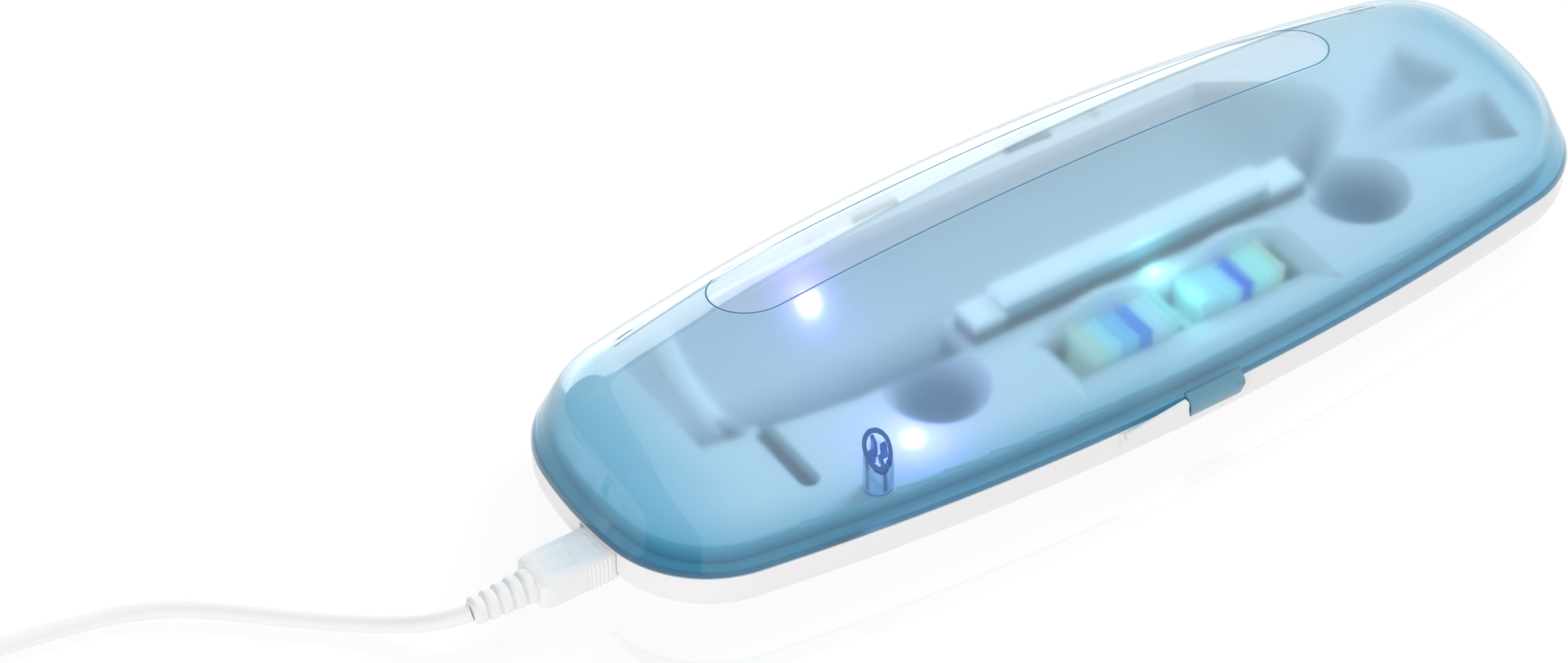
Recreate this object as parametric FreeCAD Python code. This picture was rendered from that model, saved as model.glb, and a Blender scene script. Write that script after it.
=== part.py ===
"""Travel sanitizer case for a toothbrush: hinged lid, tray with ultraviolet lamp, USB lead.

Frame: +X along the case (the USB socket is at -X), +Y to the hinge, -Y to the latch,
+Z up. The origin is on the floor under the middle of the case. Lengths are millimetres.
"""
import FreeCAD, Part
import math
import os

V = FreeCAD.Vector
os.makedirs("parts", exist_ok=True)

# ---- the case outline: four kinds of arc, tangent to each other ----
half_length = 115.0
half_width = 40.27
side_radius = 587.4
end_radius = 90.3
corner_radius = 24.1

# ---- heights and walls ----
foot_proud = 0.8
part_line = 11.0
crown_rise = 26.07
crown_radius_along = 675.0
crown_radius_across = 63.0
lid_lean = 24.9
lid_shoulder = 16.0
lid_wall = 1.8
lid_gap = 0.3
crown_margin = 6.0
base_wall = 1.8
base_fillet = 6.5
seat_gap = 0.2

# ---- tray ----
tray_inset = 4.6
deck_rise = 4.0
deck_thick = 1.6
skirt_wall = 1.4
skirt_drop = 4.0
tray_wall = 1.4

# ---- bay for the handle: a half pipe that lies along the case ----
bay_back_inset = 8.27
bay_half_chord = 20.0
bay_left = -88.0
bay_left_taper = -55.0
bay_left_chord = 15.2
bay_taper = 56.0
bay_right = 76.0
bay_neck_chord = 4.0
rib_x = -77.0
rib_width = 2.4
rib_height = 1.1
scoop_radius = 12.0
scoop_chord = 10.8
scoop_y = -12.8
scoop_xs = (-41.0, 62.5)
slot_x = -75.5
slot_width = 4.5
slot_front_inset = 17.77
slot_depth = 5.0
petal_start = (66.0, -3.0)
petal_length = 37.0
petal_turns = (22.0, -12.0)
petal_start_radius = 4.0
petal_end_radius = 8.6
petal_lift = 3.6

# ---- bay for the two brush heads ----
head_bay_x = (-19.5, 43.5)
head_bay_front_inset = 8.27
head_bay_width = 18.4
head_bay_bevel = 4.0
head_bay_front_bevel = 7.4
head_bay_back_bevel = 0.4
head_bay_draft = 0.3
head_bay_bevel_depth = 2.4
head_bay_depth = 9.4
head_width = 9.2
head_thick = 3.2
tuft_top = 16.8
tuft_rows = 5
hump_xs = (-2.0, 29.0)
hump_radius = 22.0
hump_height = 4.0
hump_gap = 0.1
hump_thick = 2.1

# ---- lamp and its housing ----
lamp_y = -4.3
lamp_z = 16.3
lamp_radius = 1.8
lamp_span = (-21.5, 45.5)
housing_span = (-28.0, 53.0)
canopy_span = (-20.5, 44.5)
housing_y = (-6.6, -0.7)
housing_end_front = -7.4
housing_base = 8.6
housing_shoulder = 19.2
canopy_top = 21.4
canopy_thick = 2.0
housing_wall = 1.1
trough_margin = 0.4
trough_front = -8.4
trough_floor = 8.2
cap_radius = 2.3
cap_length = 5.0
fit = 0.05
reflector_thick = 0.3

# ---- hinge ----
hinge_inset = 0.67
hinge_drop = 2.6
knuckle_radius = 2.4
pin_radius = 1.2
pin_play = 0.05
knuckle_gap = 0.3
lid_knuckles = ((-24.0, -14.0), (14.0, 24.0))
base_knuckles = ((-34.0, -24.3), (-13.7, 13.7), (24.3, 34.0))
notch_radius = 2.8
hinge_block_depth = 3.7
pin_short = 1.5
pin_end_play = 0.5

# ---- latch ----
latch_reach = 1.7
latch_play = 0.18
tab_span = (-1.2, 12.4)
ledge_span = (-16.6, -1.6)
tab_foot = 8.2
tab_sunk = 1.4
ledge_foot = 7.0
ledge_sunk = 0.9

# ---- interlock ----
post_from_end = 49.0
post_inset = 11.27
post_radius = 3.5
post_bore = 2.6
post_rib = 0.8
plunger_radius = 1.2
plunger_play = 0.12
plunger_travel = 1.2

# ---- window outline in the lid ----
window_inset = 25.47
window_length = 146.5
window_width = 18.0
window_groove = 0.6
window_groove_depth = 0.4

# ---- board ----
board_z = 4.1
board_thick = 1.2
board_end_gap = 6.8
board_length = 62.2
board_tongue_reach = 2.8
board_tongue_margin = 0.3
board_screw_radius = 0.9
board_strip_y = (-19.0, -3.6)
board_tab_length = 34.0
board_tab_inset = 8.67
transformer_from_end = 19.0
transformer_y = -15.0
core_size = (9.6, 5.2, 4.8)
winding_size = (5.8, 8.4, 3.8)
chip_from_end = 32.0
chip_y = -11.0
chip_size = 6.0
capacitor_from_end = 45.0
capacitor_y = -14.5
capacitor_pitch = 5.0
capacitor_radius = 1.8
led_radius = 1.5
led_front_from_end = 61.8
led_back_x = -44.1
led_back_slope = 14.1

# ---- screws and feet ----
front_boss_inset = (29.0, 15.87)
back_boss_inset = (17.0, 20.27)
boss_radius = 3.0
boss_top = 7.5
screw_radius = 1.1
screw_head_radius = 2.0
screw_head_height = 1.4
foot_end_inset = 39.0
foot_front_inset = 19.27
foot_back_inset = 18.27
foot_radius = 4.0
foot_recess = 0.8

# ---- USB ----
usb_y = -8.2
usb_z = 6.8
socket_length = 5.4
socket_width = 7.6
socket_height = 2.8
socket_sheet = 0.3
plug_width = 10.6
plug_height = 7.5
plug_length = 16.0
plug_seat_depth = 1.5
tip_width = 6.9
tip_height = 1.9
tip_length = 5.0
relief_length = 12.5
relief_start_radius = 3.6
relief_end_radius = 2.5
relief_rings = 6
ring_height = 0.55

# ---- lead: the stretch that lies open, then the coil that the rest is wound into ----
# its x values are measured from the end of the strain relief
cable_radius = 1.75
cable_points = (
    (0.0, -8.2, 6.8),
    (-5.0, -6.0, 5.3),
    (-10.6, -0.6, 3.0),
    (-17.5, 6.0, 1.75),
    (-26.4, 13.5, 1.75),
    (-35.0, 21.4, 1.75),
    (-43.6, 28.4, 1.75),
    (-53.2, 32.6, 1.75),
    (-64.2, 35.2, 1.75),
    (-76.5, 37.3, 1.75),
    (-88.5, 39.3, 2.0),
    (-98.5, 39.7, 2.55),
)
coil_from_lead = -105.0
coil_y = 65.0
coil_lift = 0.8
coil_floor_radii = (14.75, 18.25, 21.75, 25.25)
coil_upper_radii = (16.5, 20.0, 23.5)
tie_width = 6.0
tie_thick = 0.6
tie_gap = 0.2
tail_points = (
    (-115.0, 86.7, 5.6),
    (-108.5, 91.3, 5.2),
    (-103.8, 95.3, 4.5),
    (-99.0, 96.8, 4.1),
)
usb_a_from_lead = -91.0
usb_a_y = 96.8
usb_a_z = 4.1
usb_a_length = 27.0
usb_a_width = 15.4
usb_a_height = 8.0
usb_a_shell = (12.0, 4.5, 12.0)
usb_a_relief = 8.0

# ---- sizes worked out from the ones above ----
base_bottom = foot_proud
lead_x = -half_length + plug_seat_depth - plug_length - relief_length
plug_face_x = -half_length + plug_seat_depth
coil_x = lead_x + coil_from_lead
usb_a_x = lead_x + usb_a_from_lead
hinge_y = half_width - hinge_inset
hinge_block_y = hinge_y - hinge_block_depth
pin_half = base_knuckles[-1][1] - pin_short
bay_y = half_width - bay_back_inset - bay_half_chord
window_y = half_width - window_inset
slot_front = slot_front_inset - half_width
head_bay_front = head_bay_front_inset - half_width
head_bay_y = (head_bay_front, head_bay_front + head_bay_width)
hump_front = head_bay_y[1] + hump_gap
hump_y = (hump_front, hump_front + hump_thick)
post_x = -half_length + post_from_end
post_y = post_inset - half_width
board_left = -half_length + board_end_gap
board_strip_x = (board_left, board_left + board_length)
board_tongue_x = board_left - board_tongue_reach
board_tab_x = (board_strip_x[1] - board_tab_length, board_strip_x[1])
board_tab_y = board_tab_inset - half_width
transformer_at = (-half_length + transformer_from_end, transformer_y)
chip_at = (-half_length + chip_from_end, chip_y)
capacitor_at = (-half_length + capacitor_from_end, capacitor_y)
led_front = (-half_length + led_front_from_end, slot_front)
led_back = (led_back_x, bay_y + led_back_slope)
front_boss = (half_length - front_boss_inset[0], front_boss_inset[1] - half_width)
back_boss = (half_length - back_boss_inset[0], half_width - back_boss_inset[1])
foot_xs = half_length - foot_end_inset
foot_ys = (foot_front_inset - half_width, half_width - foot_back_inset)
floor_top = base_bottom + base_wall
lid_bottom = part_line + lid_gap
deck_top = part_line + deck_rise
deck_under = deck_top - deck_thick
hinge_z = part_line - hinge_drop
board_top = board_z + board_thick
lean = math.tan(math.radians(lid_lean))
bay_depth = deck_top - floor_top - tray_wall - 0.3
bay_radius = (bay_half_chord ** 2 + bay_depth ** 2) / (2 * bay_depth)
bay_z = deck_top - bay_depth + bay_radius
scoop_z = deck_top + math.sqrt(scoop_radius ** 2 - scoop_chord ** 2)


def box(x, y, z):
    """A box from three (low, high) pairs."""
    return Part.makeBox(x[1] - x[0], y[1] - y[0], z[1] - z[0], V(x[0], y[0], z[0]))


def post(x, y, low, high, radius):
    """An upright cylinder."""
    return Part.makeCylinder(radius, high - low, V(x, y, low))


def bar(x, y, z, radius):
    """A cylinder along X; x is a (low, high) pair."""
    return Part.makeCylinder(radius, x[1] - x[0], V(x[0], y, z), V(1, 0, 0))


def prism_x(profile, x):
    """A (y, z) polygon carried along X."""
    points = [V(x[0], y, z) for y, z in profile]
    return Part.Face(Part.makePolygon(points + points[:1])).extrude(V(x[1] - x[0], 0, 0))


def join(shapes):
    """Fuse a list, one shape after another."""
    whole = shapes[0]
    for shape in shapes[1:]:
        whole = whole.fuse(shape)
    return whole


def corner_centre():
    """Where a corner arc is centred, inside both the side arc and the end arc."""
    side_y = half_width - side_radius
    end_x = half_length - end_radius
    to_side = side_radius - corner_radius
    to_end = end_radius - corner_radius
    apart = math.hypot(end_x, side_y)
    along = (to_side ** 2 - to_end ** 2 + apart ** 2) / (2 * apart)
    across = math.sqrt(to_side ** 2 - along ** 2)
    ux, uy = end_x / apart, -side_y / apart
    return V(along * ux + across * uy, side_y + along * uy - across * ux, 0)


def outline(inset, z):
    """The closed plan outline, moved inwards by inset, at height z."""
    corner = corner_centre()
    side = V(0, half_width - side_radius, 0)
    end = V(half_length - end_radius, 0, 0)
    r = corner_radius - inset
    to_side = corner + (corner - side).normalize() * r
    to_end = corner + (corner - end).normalize() * r
    middle = corner + ((to_side + to_end) * 0.5 - corner).normalize() * r
    quarter = {
        "side": (to_side.x, to_side.y),
        "mid": (middle.x, middle.y),
        "end": (to_end.x, to_end.y),
    }

    def at(name, sx, sy):
        x, y = quarter[name]
        return V(sx * x, sy * y, z)

    edges = []
    for sx, sy in ((1, 1), (1, -1), (-1, -1), (-1, 1)):
        straight_on = sx * sy > 0
        first, last = ("side", "end") if straight_on else ("end", "side")
        edges.append(Part.Arc(at(first, sx, sy), at("mid", sx, sy), at(last, sx, sy)))
        if straight_on:
            tip = V(sx * (half_length - inset), 0, z)
            edges.append(Part.Arc(at("end", sx, sy), tip, at("end", sx, -sy)))
        else:
            tip = V(0, sy * (half_width - inset), z)
            edges.append(Part.Arc(at("side", sx, sy), tip, at("side", -sx, sy)))
    return Part.Wire([arc.toShape() for arc in edges])


def plate(inset, low, high):
    """The outline's area between two heights."""
    return Part.Face(outline(inset, low)).extrude(V(0, 0, high - low))


def crown(lowered):
    """The solid under the lid's crowned top, a slice of a torus."""
    top = part_line + crown_rise - lowered
    radius = crown_radius_across - lowered
    reach = half_width + crown_margin
    drop = radius - math.sqrt(radius ** 2 - reach ** 2)
    bottom = -half_width
    front, back = V(0, -reach, top - drop), V(0, reach, top - drop)
    arc = Part.Arc(front, V(0, 0, top), back).toShape()
    low = Part.makePolygon([back, V(0, reach, bottom), V(0, -reach, bottom), front])
    swing = 1.2 * math.degrees(half_length / crown_radius_along)
    pivot = V(0, 0, part_line + crown_rise - crown_radius_along)
    face = Part.Face(Part.Wire([arc] + low.Edges))
    face.rotate(pivot, V(0, 1, 0), -swing)
    return face.revolve(pivot, V(0, 1, 0), 2 * swing)


def dome(inset, lowered, fillet, start):
    """The lid's form: walls that lean in, a crowned top, and a round shoulder."""
    rise = crown_rise + crown_margin
    low = outline(inset + lean * (start - lid_bottom), start)
    high = outline(inset + lean * rise, lid_bottom + rise)
    walls = Part.makeLoft([low, high], True, True)
    body = walls.common(crown(lowered))
    top = max(body.Faces, key=lambda face: face.CenterOfMass.z)
    return body.makeFillet(fillet, top.OuterWire.Edges)


def half_pipe(grow):
    """The handle bay's round trough, grown by grow for its outside."""
    neck = math.hypot(bay_neck_chord, bay_z - deck_top) + grow
    blunt = math.hypot(bay_left_chord, bay_z - deck_top) + grow
    r = bay_radius + grow
    stations = ((bay_left - grow, blunt), (bay_left_taper, r), (bay_taper, r), (bay_right + grow, neck))
    points = [V(x, bay_y, bay_z - radius) for x, radius in stations]
    axis = [V(stations[-1][0], bay_y, bay_z), V(stations[0][0], bay_y, bay_z)]
    face = Part.Face(Part.makePolygon(points + axis + points[:1]))
    return face.revolve(V(0, bay_y, bay_z), V(1, 0, 0), 360)


def petals(grow):
    """Two flared grooves that spread from the bay's narrow end."""
    x, y = petal_start
    shapes = []
    for turn in petal_turns:
        heading = V(math.cos(math.radians(turn)), math.sin(math.radians(turn)), 0)
        cone = Part.makeCone(petal_start_radius + grow, petal_end_radius + grow,
                             petal_length + grow, V(x, y, deck_top + petal_lift), heading)
        shapes.append(cone)
    return shapes


def scoops(grow):
    """Finger scoops: round dimples at the bay's front edge."""
    return [Part.makeSphere(scoop_radius + grow, V(x, scoop_y, scoop_z)) for x in scoop_xs]


def slot_pocket(grow):
    """The narrow cross slot in front of the bay."""
    r = slot_width / 2 + grow
    low = deck_top - slot_depth - grow
    back = bay_y - bay_left_chord + slot_width
    straight = box((slot_x - r, slot_x + r), (slot_front + slot_width / 2, back), (low, deck_top + 1))
    return straight.fuse(post(slot_x, slot_front + slot_width / 2, low, deck_top + 1, r))


def head_bay(grow):
    """The brush heads' bay: a bevelled mouth, then steep walls."""
    x, y = head_bay_x, head_bay_y
    front, back = head_bay_front_bevel, head_bay_back_bevel
    shoulder = deck_top - head_bay_bevel_depth - grow

    def ring(ends, front, back, z):
        a = (x[0] + ends - grow, x[1] - ends + grow)
        b = (y[0] + front - grow, y[1] - back + grow)
        corners = [V(a[0], b[0], z), V(a[1], b[0], z), V(a[1], b[1], z), V(a[0], b[1], z)]
        return Part.makePolygon(corners + corners[:1])

    rim = ring(head_bay_bevel, front, back, shoulder)
    mouth = Part.makeLoft([ring(0, 0, 0, deck_top), rim], True, True)
    draft = head_bay_draft
    low = deck_top - head_bay_depth - grow
    floor = ring(head_bay_bevel + 1, front + draft, back + draft, low)
    well = Part.makeLoft([rim, floor], True, True)
    return mouth.fuse(well)


def lamp_trough(grow):
    """The trough that the lamp housing stands in."""
    x = (housing_span[0] - trough_margin - grow, housing_span[1] + trough_margin + grow)
    y = (trough_front - grow, housing_y[1] + trough_margin + grow)
    return box(x, y, (trough_floor - grow, deck_top + (1 if grow == 0 else 0)))


def humps():
    """Two low mounds between the lamp and the brush heads."""
    z = deck_top + hump_height - hump_radius
    depth = hump_y[1] - hump_y[0]
    return [Part.makeCylinder(hump_radius, depth, V(x, hump_y[0], z), V(0, 1, 0)) for x in hump_xs]


def bosses():
    """Plan places of the four screws."""
    return [(sx * x, y) for x, y in (front_boss, back_boss) for sx in (-1, 1)]


def knuckles(spans, radius):
    return [bar(span, hinge_y, hinge_z, radius) for span in spans]


# ---- lid ----
def make_lid():
    outer = dome(0, 0, lid_shoulder, lid_bottom)
    skew = lid_wall / math.cos(math.radians(lid_lean))
    inner = dome(skew, lid_wall, lid_shoulder - lid_wall, lid_bottom - 3)
    shell = outer.cut(inner)

    # latch tab, its top sunk in the wall
    out = half_width + latch_reach
    clear = half_width + latch_play
    sunk = half_width - tab_sunk
    profile = [(-sunk, lid_bottom), (-sunk, lid_bottom + 1.6), (-out + 0.8, lid_bottom),
               (-out, lid_bottom - 1.0), (-out, tab_foot + 0.9), (-out + 0.5, tab_foot),
               (-clear, tab_foot), (-clear, lid_bottom)]
    tab = prism_x(profile, tab_span)

    # interlock post: a tube with crossed ribs under the lid's skin
    low = deck_top + 0.3
    high = part_line + crown_rise
    bore = post(post_x, post_y, low - 1, high, post_bore)
    pillar = post(post_x, post_y, low, high, post_radius).cut(bore)
    reach = post_bore + 0.3
    half = post_rib / 2
    rib_low = low + 0.5
    rib_z = (rib_low, high)
    along = box((post_x - reach, post_x + reach), (post_y - half, post_y + half), rib_z)
    across = box((post_x - half, post_x + half), (post_y - reach, post_y + reach), rib_z)
    boss = join([pillar, along, across]).common(dome(skew / 2, lid_wall / 2, lid_shoulder, lid_bottom))

    # hinge arms
    arms = []
    for span in lid_knuckles:
        reach_y = (hinge_y - 1.2, hinge_y + knuckle_radius - 0.2)
        web = box(span, reach_y, (hinge_z, lid_bottom + 1.4))
        arms += [bar(span, hinge_y, hinge_z, knuckle_radius), web]
    lid = join([shell, tab, boss] + arms)
    bore = bar((-half_length / 2, half_length / 2), hinge_y, hinge_z, pin_radius + pin_play)
    lid = lid.cut(bore)

    # the window's thin outline, cut as deep everywhere
    ring = window_ring(0).cut(window_ring(window_groove))
    return lid.cut(ring.cut(crown(window_groove_depth)))


def window_ring(shrink):
    """A long rounded prism over the lid, shrunk by shrink."""
    r = window_width / 2 - shrink
    run = window_length / 2 - window_width / 2
    low, high = part_line, part_line + crown_rise + 5
    shape = box((-run, run), (window_y - r, window_y + r), (low, high))
    return join([shape, post(-run, window_y, low, high, r), post(run, window_y, low, high, r)])


# ---- base ----
def make_base():
    outer = plate(0, base_bottom, part_line)
    bottom = min(outer.Faces, key=lambda face: face.CenterOfMass.z)
    outer = outer.makeFillet(base_fillet, bottom.OuterWire.Edges)
    inner = plate(base_wall, floor_top, part_line + 1)
    bottom = min(inner.Faces, key=lambda face: face.CenterOfMass.z)
    inner = inner.makeFillet(base_fillet - base_wall, bottom.OuterWire.Edges)
    shell = outer.cut(inner)

    pieces = [shell]
    span = (base_knuckles[0][0], base_knuckles[-1][1])
    block = box(span, (hinge_block_y, hinge_y), (floor_top, part_line)).common(outer)
    pieces.append(block)
    pieces += knuckles(base_knuckles, knuckle_radius)
    out = half_width + latch_reach
    sunk = half_width - ledge_sunk
    profile = [(-sunk, part_line - 0.3), (-out + 0.3, part_line - 0.5), (-out, part_line - 1.2),
               (-out, ledge_foot + 0.6), (-out + 0.6, ledge_foot), (-sunk, ledge_foot)]
    pieces.append(prism_x(profile, ledge_span))
    pieces += [post(x, y, base_bottom + 0.5, boss_top, boss_radius) for x, y in bosses()]
    pieces += [post(x, y, base_bottom + 0.5, board_z, boss_radius - 0.8) for x, y in board_pegs()]
    pieces.append(post(led_back[0], led_back[1], base_bottom + 0.5, floor_top + 0.4, boss_radius))
    base = join(pieces)

    bore = pin_half + pin_end_play
    cuts = [bar((-bore, bore), hinge_y, hinge_z, pin_radius + pin_play / 2)]
    for low, high in lid_knuckles:
        grown = (low - knuckle_gap, high + knuckle_gap)
        cuts.append(bar(grown, hinge_y, hinge_z, notch_radius))
        cuts.append(box(grown, (hinge_y - notch_radius, hinge_y + 5), (hinge_z, part_line + 1)))
    for x, y in bosses():
        seat = base_bottom + screw_head_height + 0.3
        cuts.append(post(x, y, base_bottom - 1, seat, screw_head_radius + 0.2))
        cuts.append(post(x, y, base_bottom, boss_top + 1, screw_radius + fit))
    for x, y in board_pegs():
        cuts.append(post(x, y, board_z - 1.5, board_z + 1, board_screw_radius + fit))
    for x, y in feet():
        cuts.append(post(x, y, base_bottom - 1, base_bottom + foot_recess, foot_radius + fit))
    # socket window and the shallow seat that the plug's face enters
    window = (socket_width / 2 + 0.3, socket_height / 2 + 0.3, -half_length + 6)
    seat = (plug_width / 2 + 0.3, plug_height / 2 + 0.25, plug_face_x + 0.1)
    for half_y, half_z, x in (window, seat):
        z = (usb_z - half_z, usb_z + half_z)
        cuts.append(box((-half_length - 2, x), (usb_y - half_y, usb_y + half_y), z))
    return cut_all(base, cuts)


def cut_all(shape, tools):
    for tool in tools:
        shape = shape.cut(tool)
    return shape


def board_pegs():
    """Plan places of the board's two screws."""
    near = (board_strip_x[0] + 4.0, board_strip_y[0] + 2.6)
    return [near, (board_strip_x[1] - 3.2, board_tab_y + 3.2)]


def feet():
    return [(sx * foot_xs, y) for y in foot_ys for sx in (-1, 1)]


# ---- tray ----
def make_tray():
    roof = plate(tray_inset, deck_under, deck_top)
    edges = max(roof.Faces, key=lambda face: face.CenterOfMass.z).OuterWire.Edges
    roof = roof.makeFillet(skirt_wall - 0.4, edges)
    skirt_low = deck_top - skirt_drop
    hollow = plate(tray_inset + skirt_wall, skirt_low, deck_under)
    skirt = plate(tray_inset, skirt_low, deck_under).cut(hollow)
    mid_deck = deck_top - deck_thick / 2
    below = box((-half_length, half_length), (-half_width, half_width), (floor_top, mid_deck))

    outside = [half_pipe(tray_wall)] + petals(tray_wall) + scoops(tray_wall)
    outside.append(slot_pocket(tray_wall))
    outside = [shape.common(below) for shape in outside]
    posts = [post(x, y, boss_top, deck_under + 0.5, boss_radius) for x, y in bosses()]
    tray = join([roof, skirt, head_bay(tray_wall)] + outside + posts)

    inside = [half_pipe(0)] + petals(0) + scoops(0) + [slot_pocket(0), head_bay(0)]
    tray = cut_all(tray, inside)
    tray = join([tray, lamp_trough(tray_wall)])
    tray = cut_all(tray, [lamp_trough(0)])

    above = box((-half_length, half_length), hump_y, (deck_under + 0.2, deck_top + hump_radius))
    lift = [hump.common(above) for hump in humps()]
    ring = half_pipe(0.3).cut(half_pipe(-rib_height))
    rib_span = (rib_x - rib_width / 2, rib_x + rib_width / 2)
    rib = ring.common(box(rib_span, (-half_width, half_width), (0, deck_top - 0.4)))
    tray = join([tray] + lift + [rib])

    holes = [post(post_x, post_y, deck_under - 1, deck_top + 1, plunger_radius + plunger_play)]
    holes.append(post(led_front[0], led_front[1], floor_top, deck_top + 1, led_radius + fit))
    holes.append(post(led_back[0], led_back[1], floor_top, deck_top + 1, led_radius + fit))
    holes += [post(x, y, boss_top - 1, deck_under - 0.4, screw_radius + fit) for x, y in bosses()]
    return cut_all(tray, holes)


# ---- lamp ----
def make_housing():
    y, wall = housing_y, housing_wall
    back = box(housing_span, (y[1] - wall, y[1]), (housing_base, housing_shoulder))
    canopy = box(canopy_span, y, (canopy_top - canopy_thick, canopy_top))
    canopy = canopy.makeFillet(0.7, [e for e in canopy.Edges if e.BoundBox.ZMin > canopy_top - 0.01])
    riser = box(canopy_span, (y[1] - wall, y[1]), (housing_shoulder - 1, canopy_top - canopy_thick + 0.5))
    ends = []
    for a, b in ((housing_span[0], canopy_span[0]), (canopy_span[1], housing_span[1])):
        end = box((a, b), (housing_end_front, y[1]), (housing_base, housing_shoulder))
        ends.append(end.makeFillet(0.7, [e for e in end.Edges if e.BoundBox.ZMin > housing_shoulder - 0.01]))
    body = join([back, canopy, riser] + ends)
    for x in (canopy_span[0] - cap_length, canopy_span[1]):
        body = body.cut(bar((x - 0.1, x + cap_length + 0.1), lamp_y, lamp_z, cap_radius + fit))
    return body


def make_lamp():
    tube = bar(lamp_span, lamp_y, lamp_z, lamp_radius)
    ends = [edge for edge in tube.Edges if edge.BoundBox.XLength < 0.01]
    return tube.makeFillet(lamp_radius * 0.6, ends)


def make_cap(side):
    low = canopy_span[0] - cap_length if side < 0 else canopy_span[1]
    cap = bar((low, low + cap_length), lamp_y, lamp_z, cap_radius)
    return cap.cut(bar((lamp_span[0] - 0.1, lamp_span[1] + 0.1), lamp_y, lamp_z, lamp_radius + fit))


def make_reflector():
    gap = 0.25
    outer = cap_radius
    x = (canopy_span[0] + gap, canopy_span[1] - gap)
    sheet = bar(x, lamp_y, lamp_z, outer).cut(bar(x, lamp_y, lamp_z, outer - reflector_thick))
    back_half = box(x, (lamp_y, lamp_y + outer), (lamp_z - outer, lamp_z + outer))
    return sheet.common(back_half)


# ---- electronics ----
def make_board():
    z = (board_z, board_top)
    strip = box(board_strip_x, board_strip_y, z)
    tab = box(board_tab_x, (board_tab_y, board_strip_y[0]), z)
    half = socket_width / 2 + board_tongue_margin
    tongue = box((board_tongue_x, board_strip_x[0]), (usb_y - half, usb_y + half), z)
    board = join([strip, tab, tongue])
    r = board_screw_radius + fit
    return cut_all(board, [post(x, y, board_z - 1, board_top + 1, r) for x, y in board_pegs()])


def make_board_screws():
    shapes = []
    for x, y in board_pegs():
        head = post(x, y, board_top, board_top + 1.0, board_screw_radius + 0.8)
        shapes.append(head.fuse(post(x, y, board_z - 1.4, board_top, board_screw_radius)))
    return Part.makeCompound(shapes)


def make_led(place, foot):
    """A round lamp on two legs: place is (x, y), foot the leg's lower end."""
    x, y = place
    top = deck_top if place is led_front else bay_surface(y)
    body = post(x, y, top - 3.4, top - 0.4, led_radius).fuse(Part.makeSphere(led_radius, V(x, y, top - 0.4)))
    legs = [post(x + s * 0.7, y, foot, top - 3.0, 0.25) for s in (-1, 1)]
    return join([body] + legs)


def bay_surface(y):
    """Height of the half pipe's inside at y."""
    return bay_z - math.sqrt(bay_radius ** 2 - (y - bay_y) ** 2)


def make_transformer():
    """An arch of ferrite over the winding."""
    x, y = transformer_at
    length, depth, height = core_size
    z = (board_top, board_top + height)
    core = box((x - length / 2, x + length / 2), (y - depth / 2, y + depth / 2), z)
    half, top = winding_size[0] / 2 + 0.1, board_top + winding_size[2] + 0.1
    return core.cut(box((x - half, x + half), (y - depth, y + depth), (board_top - 1, top)))


def make_winding():
    x, y = transformer_at
    length, depth, height = winding_size
    z = (board_top, board_top + height)
    spool = box((x - length / 2, x + length / 2), (y - depth / 2, y + depth / 2), z)
    long_edges = [edge for edge in spool.Edges if edge.BoundBox.YLength > depth / 2]
    return spool.makeFillet(0.6, long_edges)


def make_chip():
    x, y = chip_at
    half = chip_size / 2
    return box((x - half, x + half), (y - half, y + half), (board_top, board_top + 1.4))


def make_capacitors():
    x, y = capacitor_at
    cans = [post(at, y, board_top, board_top + 3.0, capacitor_radius) for at in (x, x + capacitor_pitch)]
    return Part.makeCompound(cans)


def make_socket():
    x = (plug_face_x + 1.0, plug_face_x + 1.0 + socket_length)
    y = (usb_y - socket_width / 2, usb_y + socket_width / 2)
    z = (board_top, board_top + socket_height)
    shell = box(x, y, z)
    t = socket_sheet
    return shell.cut(box((x[0] - 1, x[1] - t), (y[0] + t, y[1] - t), (z[0] + t, z[1] - t)))


def make_plunger():
    return post(post_x, post_y, board_top + 3.0, deck_top, plunger_radius)


def make_switch():
    r = plunger_radius + plunger_play
    body = box((post_x - 3, post_x + 3), (post_y - 2.2, post_y + 2.2), (board_top, board_top + 4.4))
    return body.cut(post(post_x, post_y, board_top + 3.0 - plunger_travel - 0.3, board_top + 5, r))


# ---- brush heads ----
def head_places():
    low = head_bay_x[0] + head_bay_bevel + 2.2
    high = head_bay_x[1] - head_bay_bevel - 2.2
    middle = (low + high) / 2
    return ((low, middle - 0.7), (middle + 0.7, high))


def head_centre_y():
    return (head_bay_y[0] + head_bay_front_bevel + head_bay_y[1] - head_bay_back_bevel) / 2


def make_head(span):
    floor = deck_top - head_bay_depth + seat_gap
    y = head_centre_y()
    plate_ = box(span, (y - head_width / 2, y + head_width / 2), (floor, floor + head_thick))
    upright = [e for e in plate_.Edges if abs(e.BoundBox.ZLength - head_thick) < 0.01]
    return plate_.makeFillet(head_width * 0.42, upright)


def make_tufts(span):
    low = deck_top - head_bay_depth + seat_gap + head_thick
    y = head_centre_y()
    margin = 1.6
    pitch = (span[1] - span[0] - 2 * margin) / tuft_rows
    rows = []
    for i in range(tuft_rows):
        x = span[0] + margin + i * pitch
        short = 1.0 if i in (0, tuft_rows - 1) else 0.0
        half = head_width / 2 - 1.0 - short
        rows.append(box((x + 0.3, x + pitch - 0.3), (y - half, y + half), (low, tuft_top - short)))
    return Part.makeCompound(rows)


# ---- fasteners and feet ----
def make_screws():
    shapes = []
    for x, y in bosses():
        head = post(x, y, base_bottom + 0.3, base_bottom + 0.3 + screw_head_height, screw_head_radius)
        shapes.append(head.fuse(post(x, y, base_bottom + screw_head_height, deck_under - 0.8, screw_radius)))
    return Part.makeCompound(shapes)


def make_feet():
    return Part.makeCompound([post(x, y, 0, base_bottom + foot_recess, foot_radius) for x, y in feet()])


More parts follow.
